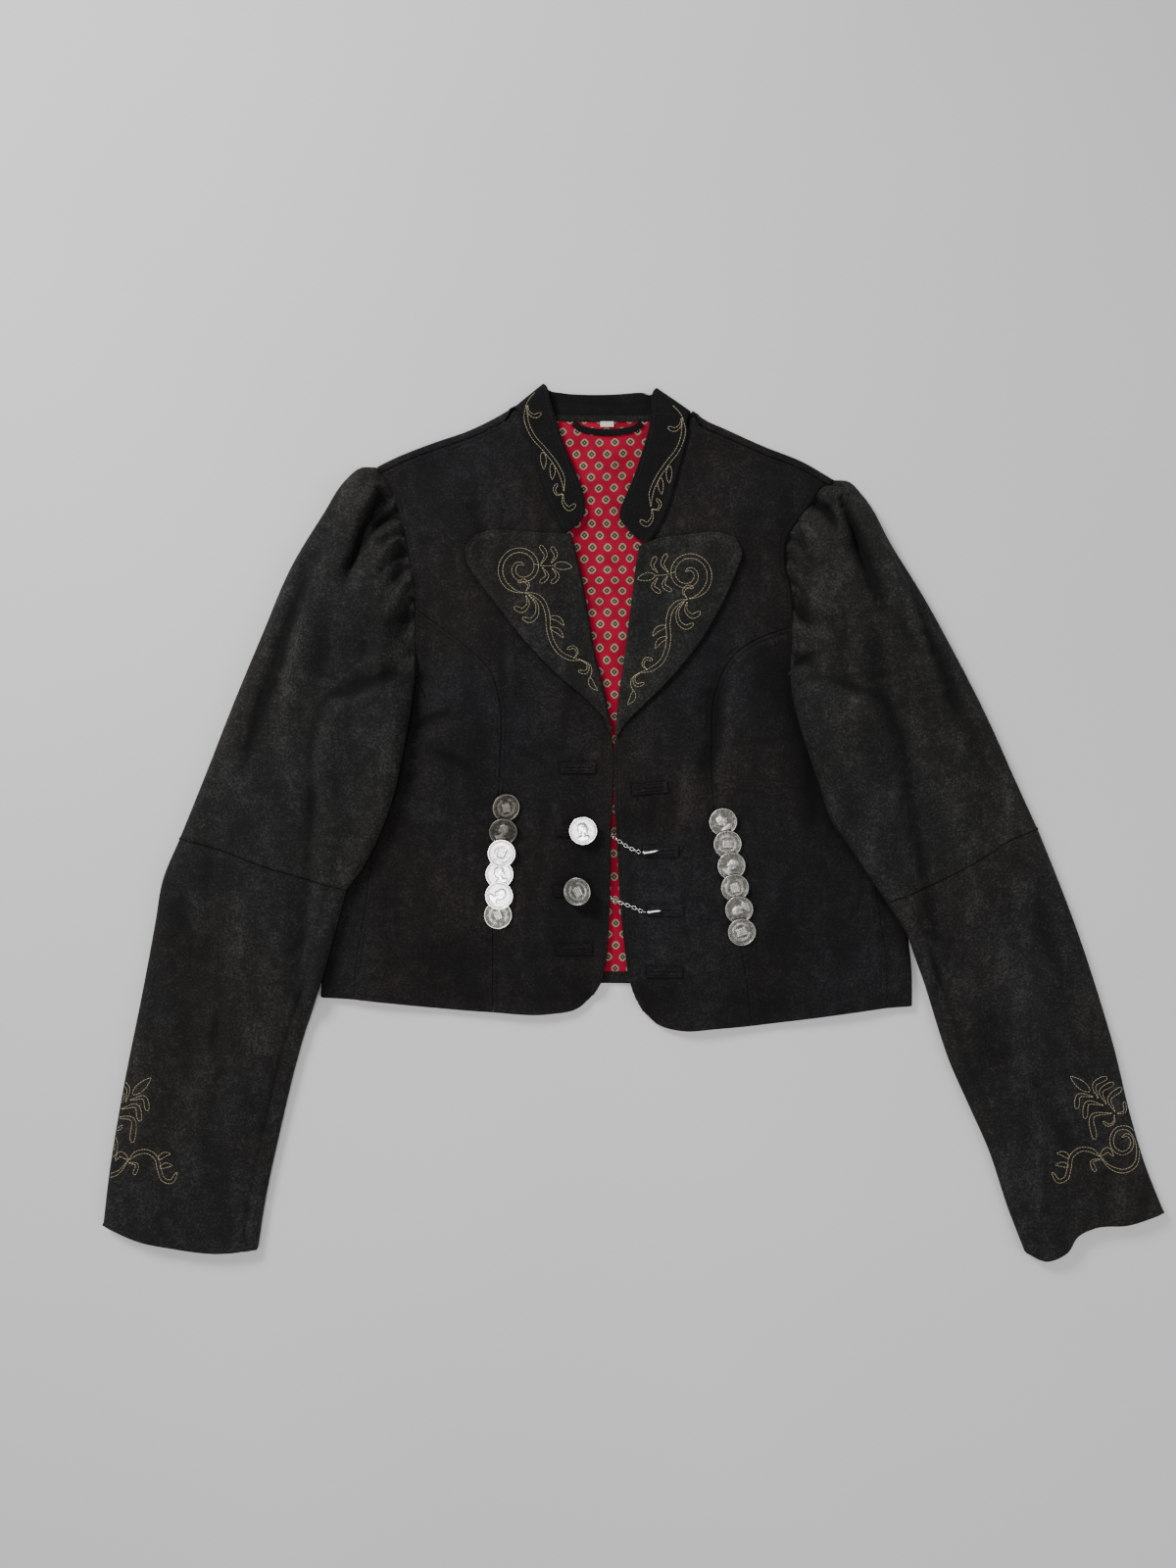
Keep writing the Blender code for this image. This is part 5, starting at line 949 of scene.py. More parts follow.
def back_panel():
    """Back panel: flat on the surface and rolled over both shoulders in a half round
    (away = radius * (1 - sin t), height = radius * (1 - cos t)), which flattens out at the neck."""
    rims, shares = [], []
    for side in SIDES:
        outer, inner = (along(smooth_line(table[side]), spaced(60)) for table in (SIDE_EDGE, SIDE_SEAM))
        lower = outer + (inner - outer) * SIDE_UNDER + np.array([-side * SEAM, 0.0])
        stretches = [lower] + [shifted(smooth_line(table[side][::-1]), SEAM / 2 * side)
                               for table in (UNDERARM, ARMHOLE)]
        rims.append(np.vstack(stretches))
        ends = np.array([0.0, length(lower), length(np.vstack(stretches[:2])), length(rims[-1])])
        shares.append(ends / ends[-1])
    top = chain_lines(SHOULDER[LEFT], BACK_NECK, SHOULDER[RIGHT][::-1])
    sides = trimmed(smooth_line(BACK_HEM), top, *rims)
    run = [length(smooth_line(table)) for table in (SHOULDER[LEFT], BACK_NECK, SHOULDER[RIGHT])]
    west, east = run[0] / sum(run), (run[0] + run[1]) / sum(run)
    first = np.concatenate([[0, 0.003, 0.008], np.linspace(0.02, 1.0, 26)])
    u = np.concatenate([west * first, west + (east - west) * spaced(26)[1:-1], 1 - (1 - east) * first[::-1]])
    stretch = np.concatenate([[0, 0.002, 0.006, 0.015], np.linspace(0.04, 2.0, 44),
                              np.linspace(2.03, 2.9, 22)])
    v = [np.interp(stretch, (0, 1, 2, 3), share)[:, None] for share in shares]
    flat = patch(*sides, u[None, :], v[0], v[1], ease((v[0] - 0.6) / 0.4))
    silhouette = along(sides[1], u)
    step = unit(np.gradient(silhouette, axis=0))
    inward = np.stack([step[:, 1], -step[:, 0]], 1)
    for end, rim in ((0, sides[2]), (-1, sides[3])):
        inward[end] = (rim[-6] - rim[-1]) / np.linalg.norm(rim[-6] - rim[-1])
    wrap = np.interp(u, (west - 0.03, west, west + 0.01, east - 0.01, east, east + 0.03),
                     (1, NECK_POINT_WRAP, 0, 0, NECK_POINT_WRAP, 1))
    layers = [np.column_stack([row, np.zeros(len(u))]) for row in flat]
    away, z = SHOULDER_START - wrap, np.zeros(len(u))
    layers.append(np.column_stack([silhouette + inward * away[:, None], z]))
    for number in range(ROLL_STEPS + 3):
        turn = wrap * math.radians(min(180.0, 180.0 * (number + 0.5) / ROLL_STEPS))
        size = wrap * (SHOULDER_RADIUS * math.pi / ROLL_STEPS if number < ROLL_STEPS else 1.15)
        size = size + (1 - wrap) * 0.235
        away, z = away - size * np.cos(turn), z + size * np.sin(turn)
        layers.append(np.column_stack([silhouette + inward * away[:, None], z]))
    walled("back_suede", np.stack(layers, 0), BACK_WALL, "suede_body", ["back_panel"], facing="down")


def back_lining():
    """Foulard lining with its ease fold and faint unevenness, and the facing along the hem."""
    sides = [smooth_line(table) for table in (LINING_BOTTOM, LINING_TOP, LINING_LEFT, LINING_RIGHT)]
    plan = fine_patch(sides, LINING_PITCH, THIN_STEPS)
    last = plan.shape[0] - 1
    rows = np.interp(spaced(last + 37), [0, 0.86, 0.99, 1], [0, 0.62, 0.995, 1]) * last
    low = np.floor(rows).astype(int).clip(0, last - 1)
    plan = plan[low] + (plan[low + 1] - plan[low]) * (rows - low)[:, None, None]
    x, y = plan[..., 0], plan[..., 1]
    base = BACK_WALL + REST + LINING
    z = base + folds(x, y, [LINING_EASE]) + folds(x, y, LINING_CREASES) + 0.07 * uneven(x, y, 18.0, 21)
    walled("lining_foulard", np.dstack([x, y, z]), LINING, "foulard", ["back_lining"])
    bottom = shifted(smooth_line(LINING_BOTTOM), -SEAM)
    run = rim_shares([length(bottom)], 120, THIN_STEPS)[0]
    across = rim_shares([HEM_FACING_WIDTH], 6, THIN_STEPS)[0][:, None, None]
    low, high = along(shifted(bottom, -HEM_FACING_WIDTH), run), along(bottom, run)
    plan = low + (high - low) * across
    z = np.full(plan.shape[:2], base) + 0.1 * uneven(plan[..., 0], plan[..., 1], 9.0, 22)
    walled("hem_facing_suede", np.dstack([plan, z]), LINING, "suede_brown", ["back_hem_facing"])


# Lapels and collar

def lapel(side):
    """Turned-back facing: lies on the front, drops round its edge at the fold in a quarter round and
    lifts a little toward its loose edge, with a line of stitches along it."""
    fold, loose, top = (smooth_line(table[side]) for table in (LAPEL_FOLD, LAPEL_LOOSE, LAPEL_TOP))
    sides = (smooth_line([LAPEL_FOLD[side][0], LAPEL_LOOSE[side][0]], 20), top, fold, loose)
    columns = 40 + 2 * len(SEWN_STEPS) - 2
    v = rim_shares(np.linspace(length(fold), length(loose), columns), 70, SEWN_STEPS).T
    rows = v.mean(1)
    wide = np.linalg.norm(along(loose, rows) - along(fold, rows), axis=1)
    u = rim_shares(np.maximum(wide, 1.0), 40, SEWN_STEPS)
    plan = patch(*sides, u, v)
    x, y = plan[..., 0], plan[..., 1]
    loose_side = np.minimum(np.abs(distance(x, y, loose)), np.abs(distance(x, y, top)))
    z = front_height(x, y) + LAPEL_REST + FACING
    reach = np.clip(np.abs(distance(x, y, fold)) / 3.0, 0, 1)
    drop = (FACING + LAPEL_REST + SUEDE) * (0.2 + 0.8 * ease(v / 0.12))
    z = z - drop * (1 - np.sqrt(1 - (1 - reach) ** 2)) * ease((wide[:, None] + 1) / 8)
    grow = ease((wide[:, None] - 6) / 25)
    swell = 0.4 * ease(loose_side / 1.6) * (1 - ease((loose_side - 4) / 8))
    groove = 0.5 * np.exp(-((loose_side - LAPEL_STITCH_IN) / 0.6) ** 2)
    small = 0.26 * uneven(x, y, 24.0, 31 + side) + 0.3 * uneven(x, y, 6.0, 33) * (1 - ease(loose_side / 10))
    z = z + grow * (1.0 * (1 - ease(loose_side / 24)) + swell - groove + small)
    word, surface = WORD[side], "suede_green" if side == RIGHT else "suede_brown"
    walled(f"lapel_{word}_suede", np.dstack([x, y, z]), FACING, surface, [f"lapel_{word}"])


def collar():
    """Stand collar as a flattened ring: straight rows from its sewn base to its loose edge along one
    smooth line through both, padded a little in the middle, with a stitch line near each edge."""
    def half_turn(fold, outward, down):
        base, loose = np.array(fold[:2]), np.array(fold[2:])
        rows = []
        for turn in (90, 50, 10, -30, -65, -90)[::down]:
            reach = COLLAR_TURN * math.cos(math.radians(turn)) * np.array(outward)
            z = 1.5 + COLLAR_TURN * (1 + math.sin(math.radians(turn)))
            rows.append((*(base + reach), z, *(loose + reach), z))
        return rows

    rows = (COLLAR_LEFT + half_turn(COLLAR_FOLD_LEFT, (-0.64, 0.77), 1) + COLLAR_BACK
            + half_turn(COLLAR_FOLD_RIGHT, (0.57, 0.82), -1) + COLLAR_RIGHT)
    table = np.array(rows)
    line = smooth_line(table, 460)
    run = rim_shares([length(line[:, :3])], 180, SEWN_STEPS)[0]
    line = along(line, run)
    base, loose = line[:, :3].copy(), line[:, 3:]
    high = ease((base[:, 2] - 1.6) / 5.4)
    base[:, :2] += unit(base[:, :2] - loose[:, :2]) * COLLAR_TUCK
    base[:, 2] += 0.45 * high
    wide = np.linalg.norm(loose - base, axis=1)
    share = rim_shares(wide, 9, SEWN_STEPS)[..., None]
    points = base[:, None] + (loose - base)[:, None] * share
    points = flipped(points, "up", False)
    normal = normals(points)
    near = rim_distance(points)
    relief = 0.3 * ease(near / 3.0) - 0.2 * np.exp(-((near - COLLAR_STITCH_IN) / 0.7) ** 2)
    relief = relief + 0.14 * uneven(points[..., 0], points[..., 1], 8.0, 41)
    points = points + normal * (COLLAR_WALL / 2 + relief[..., None] * 0.8)
    walled("collar_suede", points, COLLAR_WALL, "suede_collar", ["collar"])


# Sleeves

def sleeve(side, stretch, lines, relief, heights, roll, seam_in):
    """One stretch of a sleeve as a closed tube. In plan its rows run straight between the outer and
    inner edge. Its underside keeps the height of what it lies on, its top stands one tube height
    higher, and toward both edges both fall to the middle by sqrt(1 - (1 - distance/roll)**2)."""
    word, upper = WORD[side], stretch == "upper"
    start, end, outer, inner = (smooth_line(table) for table in lines)
    fold_table, creases, gathers, leans = relief
    long = length(inner)
    first = SEAM / 2 / long
    last = 1.0 - first if upper else 1.0
    share = rim_shares([long], 120, SEWN_STEPS)[0]
    if upper:
        share = share - ROW_CROWD * share * (1 - share)
    v = (first + (last - first) * share)[:, None]
    wide = np.linalg.norm(along(inner, v[:, 0]) - along(outer, v[:, 0]), axis=1)[:, None]
    curve = roll[0] + (roll[1] - roll[0]) * v
    turn_in = 1 - np.cos(np.radians(np.linspace(0, 90, 9)))

    def across(edge, count):
        """Shares of the width: round both edges by the angle and evenly between."""
        near = edge * turn_in / wide
        middle = near[:, -1:] + (1 - 2 * near[:, -1:]) * spaced(count)[1:-1]
        return np.concatenate([near, middle, 1 - near[:, ::-1]], 1)

    def section(u, top):
        """Points of the top or the underside at shares of the width."""
        spot = patch(start, end, outer, inner, u, v)
        x, y = spot[..., 0], spot[..., 1]
        low = lift(x, y, side)
        high = low * 0.85 + np.interp(v, *zip(*heights)) * (0.8 + 0.2 * (1 - (2 * u - 1) ** 2))
        if upper:
            risen = ease(np.abs(distance(x, y, start[::3])) / CAP_RUN)
            high = np.maximum(EDGE_HEIGHT + 0.2, low + CAP_STEP) * (1 - risen) + high * risen
            tuck = 1 - np.clip(v * long / TUCK_RUN, 0, 1)
            high = low + TUCK_HEIGHT + (high - low - TUCK_HEIGHT) * np.sqrt(1 - tuck ** 2)
        middle = low + 0.42 * (high - low)
        near = np.minimum(np.abs(distance(x, y, outer[::2])), np.abs(distance(x, y, inner[::2])))
        size = np.minimum(curve, (high - middle) ** 2 / TIP_RADIUS) if top else UNDER_ROLL
        bend = np.sqrt(np.clip(1 - (1 - np.clip(near / size, 0, 1)) ** 2, 0, 1))
        if not top:
            return np.dstack([spot, middle - (middle - low) * bend])
        from_start, to_end = v * long, (1 - v) * long
        bump = (folds(x, y, fold_table) + folds(x, y, creases, 1.5)) * ease(near / curve - 0.05)
        for at, height, half, reach in gathers:
            widen = half * (1 + from_start / 40)
            bell = np.exp(-np.abs((u - at) * wide / widen) ** 1.5)
            fade = 1 - ease((from_start - 0.2 * reach) / reach)
            bump = bump + height * bell * ease(from_start / 3) * fade
        ends = np.minimum(from_start, to_end)
        bump = bump + 0.3 * ease(ends / 2.4) * (1 - ease((ends - 5) / 9))
        bump = bump + 0.3 * uneven(x, y, 6.0, 51) * ease(ends / 1.5) * (1 - ease(ends / 12))
        bump = bump + (0.42 * uneven(x, y, 30.0, 52) + 0.16 * uneven(x, y, 12.0, 53)) * ease(near / curve)
        if not upper:
            away = wide * (1 - u) - seam_in[0] - (seam_in[1] - seam_in[0]) * v
            bump = bump - 0.8 * np.exp(-(away / 0.8) ** 2) + 0.3 * np.exp(-((np.abs(away) - 3.5) / 2.5) ** 2)
        risen = np.maximum(high - middle + bump, low + 2 * SUEDE + 0.6 - middle)
        lean = folds(x, y, leans) * bend
        return np.dstack([x - 0.94 * side * lean, y - 0.33 * lean, middle + risen * bend])

    top = section(across(curve, 94 if upper else 60), True)
    under = section(across(np.full_like(v, UNDER_ROLL), 18)[:, ::-1], False)
    shades = [((end if upper else start)[::3], *ELBOW_SHADE)]
    if not upper:
        front_seam = shifted(inner, np.linspace(*seam_in, len(inner))[:, None] * side)
        shades.append((front_seam[::3], *FRONT_SEAM_SHADE))
    walled(f"sleeve_{stretch}_{word}_suede", np.concatenate([top, under[:, 1:-1]], 1), SUEDE,
           "suede_green" if upper else "suede_brown",
           [f"sleeve_{stretch}_top_{word}", f"sleeve_{stretch}_under_{word}"],
           facing="tube", loop=True, shades=shades)


# Coins, buttonholes, chains, loop and label

def portrait(x, y, hand):
    """Relief of a plain bust seen from the side: rounded ellipses for skull, face, nose, chin, neck,
    hair and shoulder, each height * sqrt(1 - r*r) inside its own ellipse, and the highest counts."""
    total = np.zeros_like(x)
    for cx, cy, rx, ry, turn, height in BUST_FORMS:
        u, v = spun(x * hand - cx, y - cy, -turn)
        total = np.maximum(total, height * np.sqrt(np.clip(1 - (u / rx) ** 2 - (v / ry) ** 2, 0, 1)))
    locks = 0.06 * np.sin(2.6 * np.hypot(x * hand + 2.2, y - 3.4) * 2.2)
    return total + locks * (np.hypot(x * hand + 1.2, y - 2.4) < 3.4) * (total > 0.2)


def wreath(x, y):
    """Relief of two leafy branches round a plain shield: leaves along a ring as |cos| in the turn."""
    r, turn = np.hypot(x, y), np.arctan2(x, -y)
    leaves = np.abs(np.cos(9.5 * turn + 2.2 * (r - 6.6))) * np.exp(-((r - 6.7) / 1.15) ** 2)
    leaves = leaves * (np.abs(turn) < 2.75)
    shield = np.clip(1.2 - np.maximum(np.abs(x) / 3.0, np.abs(y + 0.2 * np.abs(x)) / 3.6), 0, 0.2) * 5
    bars = 0.16 * (np.abs(((x + 3) % 1.5) - 0.75) < 0.3) * (shield > 0.9)
    return 0.42 * leaves + 0.34 * shield + bars


def coin(name, x, y, rise_y, rise_x, stand, held, motif, turn, surface, node):
    """Coin button on its shank: on a polar grid, a flat field with a raised rim, a ring of beads and
    a relief, then the rounded edge, the plain back and the shank's stem, closed at both poles."""
    ring = np.radians(np.arange(0, 360, 15))
    reach = np.array([0.5, 1.0])[:, None] * COIN_WIDTH / 2
    px, py = (reach * np.cos(ring)).ravel(), (reach * np.sin(ring)).ravel()
    seat = front_height(x + px, y + py) - rise_x * px - rise_y * py
    base = float(front_height(np.array([x]), np.array([y]))[0]) + stand
    centre = max(seat.max() + stand, base) + held + REST + COIN_THICK / 2
    foot = centre - base - REST
    angle = np.radians(np.arange(0, 360, 4.0))[None, :]
    r = np.concatenate([[0.02], np.arange(0.5, 8.9, 0.42), np.arange(9.0, 11.41, 0.16)])[:, None]
    px, py = r * np.cos(angle), r * np.sin(angle)
    qx, qy = spun(px, py, -turn)
    relief = wreath(qx, qy) if motif == "wreath" else portrait(qx, qy, 1 if motif == "bust" else -1)
    relief = relief * ease((COIN_FIELD - r) / 0.8)
    beads = 0.3 * np.sqrt(np.clip(1 - (((angle * BEADS / 2 / math.pi) % 1 - 0.5) / BEAD_RADIUS) ** 2
                                  - ((r - BEAD_RING) / BEAD_RADIUS) ** 2, 0, 1))
    rim = 0.42 * ease((r - 10.15) / 0.3) * (1 - 0.9 * ease((r - 11.1) / 0.3))
    wear = 0.03 * uneven(qx + 5 * x, qy, 1.7, 61)
    rubbed = np.clip(0.15 + 1.5 * relief + 1.2 * beads + 1.9 * rim, 0, 1)
    face = np.stack([px, py, COIN_THICK / 2 - COIN_SUNK + relief * 0.6 + 0.7 * beads + rim + wear], -1)
    outline = np.array([*COIN_BACK, (1.6, -foot + 0.2), (1.3, -foot), (0.02, -foot)])
    wide, z = outline[:, :1], outline[:, 1:] + 0 * angle
    body = np.stack([wide * np.cos(angle), wide * np.sin(angle), z], -1)
    points = np.concatenate([face, body])
    tipped_y, tipped_z = spun(points[..., 1], points[..., 2], math.degrees(math.atan(rise_y)))
    tipped_x, tipped_z = spun(points[..., 0], tipped_z, math.degrees(math.atan(rise_x)))
    points = np.stack([tipped_x, tipped_y, tipped_z], -1) + (x, y, centre)
    rows, columns = points.shape[:2]
    index = np.arange(rows * columns).reshape(rows, columns)
    caps = [np.stack([index[0], np.roll(index[0], -1), np.full(columns, rows * columns)], -1),
            np.stack([np.roll(index[-1], -1), index[-1], np.full(columns, rows * columns + 1)], -1)]
    faces = grid_quads(index[:, ::-1], loop=True).tolist() + np.vstack(caps).tolist()
    poles = np.stack([points[0].mean(0), points[-1].mean(0)])
    made = add_mesh(name, np.vstack([points.reshape(-1, 3), poles]), faces, surface)
    mark(made, "rubbed", np.concatenate([rubbed.ravel(), np.full(body[..., 0].size, 0.5), [0.2, 0.5]]))
    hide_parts(node)


def buttonhole(name, x, y, turn, node):
    """Bound buttonhole: two rolled welts that meet at the slit, height * sqrt(1 - d*d) across each,
    inside a flat frame, with the ends drawn down."""
    across = (rim_shares([HOLE_LENGTH], 36, THIN_STEPS)[0] - 0.5) * HOLE_LENGTH
    up = (rim_shares([HOLE_WIDTH], 34, THIN_STEPS)[0] - 0.5) * HOLE_WIDTH
    gx, gy = np.meshgrid(across, up)
    px, py = spun(gx, gy, turn)
    px, py = x + px, y + py
    inside = ease((HOLE_LENGTH / 2 - 3.2 - np.abs(gx)) / 0.8)
    welt = np.sqrt(np.clip(1 - ((np.abs(gy) - 1.35) / 1.3) ** 2, 0, 1)) * inside
    moat = np.exp(-((np.abs(gy) - 2.9) / 0.3) ** 2) * inside
    z = front_height(px, py) + HOLE_REST + HOLE_WALL
    z = z + 0.55 * welt - 0.35 * moat - 0.6 * np.exp(-(gy / 0.35) ** 2) * inside
    walled(name, np.dstack([px, py, z]), HOLE_WALL, "suede_body", [node])


def chain(name, bar, table, node):
    """Curb chain: oval rings of round wire, each turned about the chain's line against the next and
    set one pitch on, then a tapered bar. Its line is the CAD chain's."""
    x, y, climb = np.array(table, float).T
    base = BACK_WALL + REST + LINING + REST + CHAIN_THICK / 2
    front = front_height(x, y) + REST + CHAIN_THICK / 2
    z = base + (front - base) * np.minimum(climb, 1.1) + ease(climb - 1.1) * (HOLE_WALL + HOLE_REST + 0.1)
    line = smooth_line(np.column_stack([x, y, z]), 300)
    total = length(line)
    links = np.arange(int((total - bar) / LINK_PITCH))
    centres = along(line, (links + 0.5) * LINK_PITCH / total)
    step = unit(along(line, np.minimum((links + 0.9) * LINK_PITCH / total, 1.0)) - centres)
    level = unit(np.cross(UP, step))
    twist = np.radians(np.where(links % 2 == 0, *LINK_TWISTS))[:, None]
    side = level * np.cos(twist) + np.cross(step, level) * np.sin(twist)
    ovals = rings(centres, LINK_LONG * step, LINK_WIDE * side, LINK_TURNS)
    outward = unit(rings(np.zeros_like(centres), step / LINK_LONG, side / LINK_WIDE, LINK_TURNS))
    wires = rings(ovals, WIRE * outward, WIRE * np.cross(step, side)[:, None], WIRE_SIDES)
    index = np.arange(LINK_TURNS * WIRE_SIDES).reshape(LINK_TURNS, WIRE_SIDES)
    quads = grid_quads(np.concatenate([index, index[:1]], 0)[:, ::-1], loop=True)
    faces = (quads + links[:, None, None] * index.size).reshape(-1, 4).tolist()
    at = np.linspace(total - bar, total, 18)
    taper = np.interp(at, [at[0], at[2], at[-3], at[-1]], [0.55, 1.0, 0.75, 0.3])
    points, bar_faces = tube(along(line, at / total), BAR_WIDE * taper, BAR_HIGH * taper, 12,
                             len(links) * index.size)
    made = add_mesh(name, np.vstack([wires.reshape(-1, 3), points.reshape(-1, 3)]), faces + bar_faces,
                    "bright_chain")
    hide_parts(node)


def ribbon(name, table, wide, thick, height, surface, nodes):
    """Flat band along a path, with rolled edges and a faint unevenness."""
    path = smooth_line(table, 120) if len(table) > 2 else along(np.array(table, float), spaced(60))
    path = along(path, rim_shares([length(path)], 90, THIN_STEPS)[0])
    step = unit(np.gradient(path, axis=0))
    across = np.stack([-step[:, 1], step[:, 0]], 1)
    share = (rim_shares([wide], 12, THIN_STEPS)[0] - 0.5) * wide
    plan = path[:, None] + across[:, None] * share[:, None]
    z = np.full(plan.shape[:2], height + thick) + 0.05 * uneven(plan[..., 0], plan[..., 1], 4.0, 71)
    z = z + 0.12 * np.exp(-((np.abs(share) - wide / 2 + 0.7) / 0.3) ** 2)
    walled(name, np.dstack([plan, z]), thick, surface, nodes)


# Threads

def laid_on(grid, x, y):
    """Height of a piece's outer face at points in plan: the nearest grid point's tangent plane."""
    flat, tilt = grid.reshape(-1, 3), normals(grid).reshape(-1, 3)
    keep = (tilt[:, 2] > 0.2) & (flat[:, 0] > x.min() - 4) & (flat[:, 0] < x.max() + 4) \
        & (flat[:, 1] > y.min() - 4) & (flat[:, 1] < y.max() + 4)
    flat, tilt = flat[keep], tilt[keep]
    parts = 1 + len(x) // 400
    near = np.concatenate([((flat[:, 0] - px[:, None]) ** 2 + (flat[:, 1] - py[:, None]) ** 2).argmin(1)
                           for px, py in zip(np.array_split(x, parts), np.array_split(y, parts))])
    spot, up = flat[near], tilt[near]
    rise = ((x - spot[:, 0]) * up[:, 0] + (y - spot[:, 1]) * up[:, 1]) / up[:, 2]
    return spot[:, 2] - np.clip(rise, -0.8, 0.8)


def sewn(name, paths, grid, pitch, radius, surface):
    """Running stitch along plan paths: one round thread each, whose middle lies on the cloth by
    radius * (2.2 * |sin(pi * s / pitch)|**0.6 - 1.1) and dives under it between the stitches."""
    points, faces, start = [], [], 0
    for path in paths:
        long = length(path)
        if long < pitch:
            continue
        count = max(2, int(round(long / pitch)))
        share = spaced(count * THREAD_KNOTS + 1)
        plan = along(path, share)
        wave = np.abs(np.sin(math.pi * share * count)) ** 0.6
        z = laid_on(grid, plan[:, 0], plan[:, 1]) + radius * (2.2 * wave - 1.1)
        width = radius * (0.55 + 0.45 * wave)
        thread, sides = tube(np.column_stack([plan, z]), width, width, THREAD_SIDES, start, 0.4)
        points.append(thread.reshape(-1, 3))
        faces += sides
        start += len(points[-1])
    add_mesh(name, np.vstack(points), faces, surface)


def inside_of(paths, line, side, gap):
    """The stretches of plan paths that keep a gap inside an edge, which runs down the left or right."""
    result = []
    for path in paths:
        kept = -side * distance(path[:, 0], path[:, 1], line) > gap
        cuts = np.flatnonzero(kept[1:] != kept[:-1]) + 1
        result += [part for part, keep in zip(np.split(path, cuts), np.split(kept, cuts)) if keep[0]]
    return result


# Embroidery: shapes that the sewer draws on the suede, each a closed loop round a middle line

def band(kind, line, half):
    """Both sides of a middle line, at half * w from it along the line's share s. A leaf has
    w = sin(pi * s**0.8)**0.75, a horn s**0.8 * sqrt(1 - s**8), which ends blunt, a scroll
    min(1, 8 * s) * sqrt(1 - s**16), and a stem min(1, 8 * s, 8 * (1 - s))."""
    share = np.sin(spaced(len(line)) * math.pi / 2) if kind in ("horn", "scroll") else spaced(len(line))
    line = along(line, share)
    wide = {"leaf": np.sin(math.pi * share ** 0.8) ** 0.75,
            "horn": share ** 0.8 * np.sqrt(1 - share ** 8),
            "scroll": np.minimum(1, 8 * share) * np.sqrt(1 - share ** 16),
            "stem": np.minimum(1, 8 * np.minimum(share, 1 - share))}[kind]
    step = unit(np.gradient(line, axis=0))
    out = (half * wide)[:, None] * np.stack([-step[:, 1], step[:, 0]], 1)
    return np.vstack([line + out, (line - out)[::-1]])


def winding(x, y, first, last, start, turns):
    """Middle line of a scroll about (x, y), whose radius falls evenly with the turn."""
    share = spaced(240)
    angle = math.radians(start) + 2 * math.pi * turns * share
    reach = first + (last - first) * share
    return np.stack([x + reach * np.cos(angle), y + reach * np.sin(angle)], 1)


def drawn(rows):
    """Plan paths of one embroidered design, from its rows of shape name, middle line and half width."""
    return [smooth_line(points) if kind == "line" else band(kind, smooth_line(points), half)
            for kind, points, half in rows]


def mirrored(paths, across, up, pivot, turn):
    """The same design for the other side: mirrored, moved and turned about a point."""
    return [np.stack(spun(across - path[:, 0] - pivot[0], path[:, 1] + up - pivot[1], turn), 1) + pivot
            for path in paths]


# Materials

def linear(colour):
    """sRGB hex to linear light."""
    parts = np.array([int(colour[i:i + 2], 16) / 255 for i in (1, 3, 5)])
    parts = np.where(parts <= 0.04045, parts / 12.92, ((parts + 0.055) / 1.055) ** 2.4)
    return (*parts.tolist(), 1.0)


def new_finish(name, colour, roughness, metallic=0.0, more=()):
    """A material with its node tree, its shader and the place on the jacket; more sets more inputs."""
    made = bpy.data.materials.new(name)
    made.use_nodes = True
    tree = made.node_tree
    shader = tree.nodes["Principled BSDF"]
    set_inputs(tree, shader, [("Base Color", linear(colour)), ("Roughness", roughness),
                              ("Metallic", metallic), *more])
    return made, tree, shader, add(tree, "ShaderNodeTexCoord").outputs["Object"]


def set_inputs(tree, node, links):
    """Sets a node's inputs. Links are pairs of an input's name or number and what feeds it: a fixed
    value, a socket, or a node, whose first output counts."""
    for name, source in links:
        if isinstance(source, bpy.types.Node):
            source = source.outputs[0]
        if isinstance(source, bpy.types.NodeSocket):
            tree.links.new(source, node.inputs[name])
        else:
            node.inputs[name].default_value = source


def add(tree, kind, links=(), stops=(), **settings):
    """One node with its settings and inputs. Stops are the places and hex colours of a colour ramp."""
    made = tree.nodes.new(kind)
    for key, value in settings.items():
        setattr(made, key, value)
    set_inputs(tree, made, links)
    if stops:
        elements = made.color_ramp.elements
        elements.remove(elements[1])
        elements[0].position, elements[0].color = stops[0][0], linear(stops[0][1])
        for place, colour in stops[1:]:
            elements.new(place).color = linear(colour)
    return made


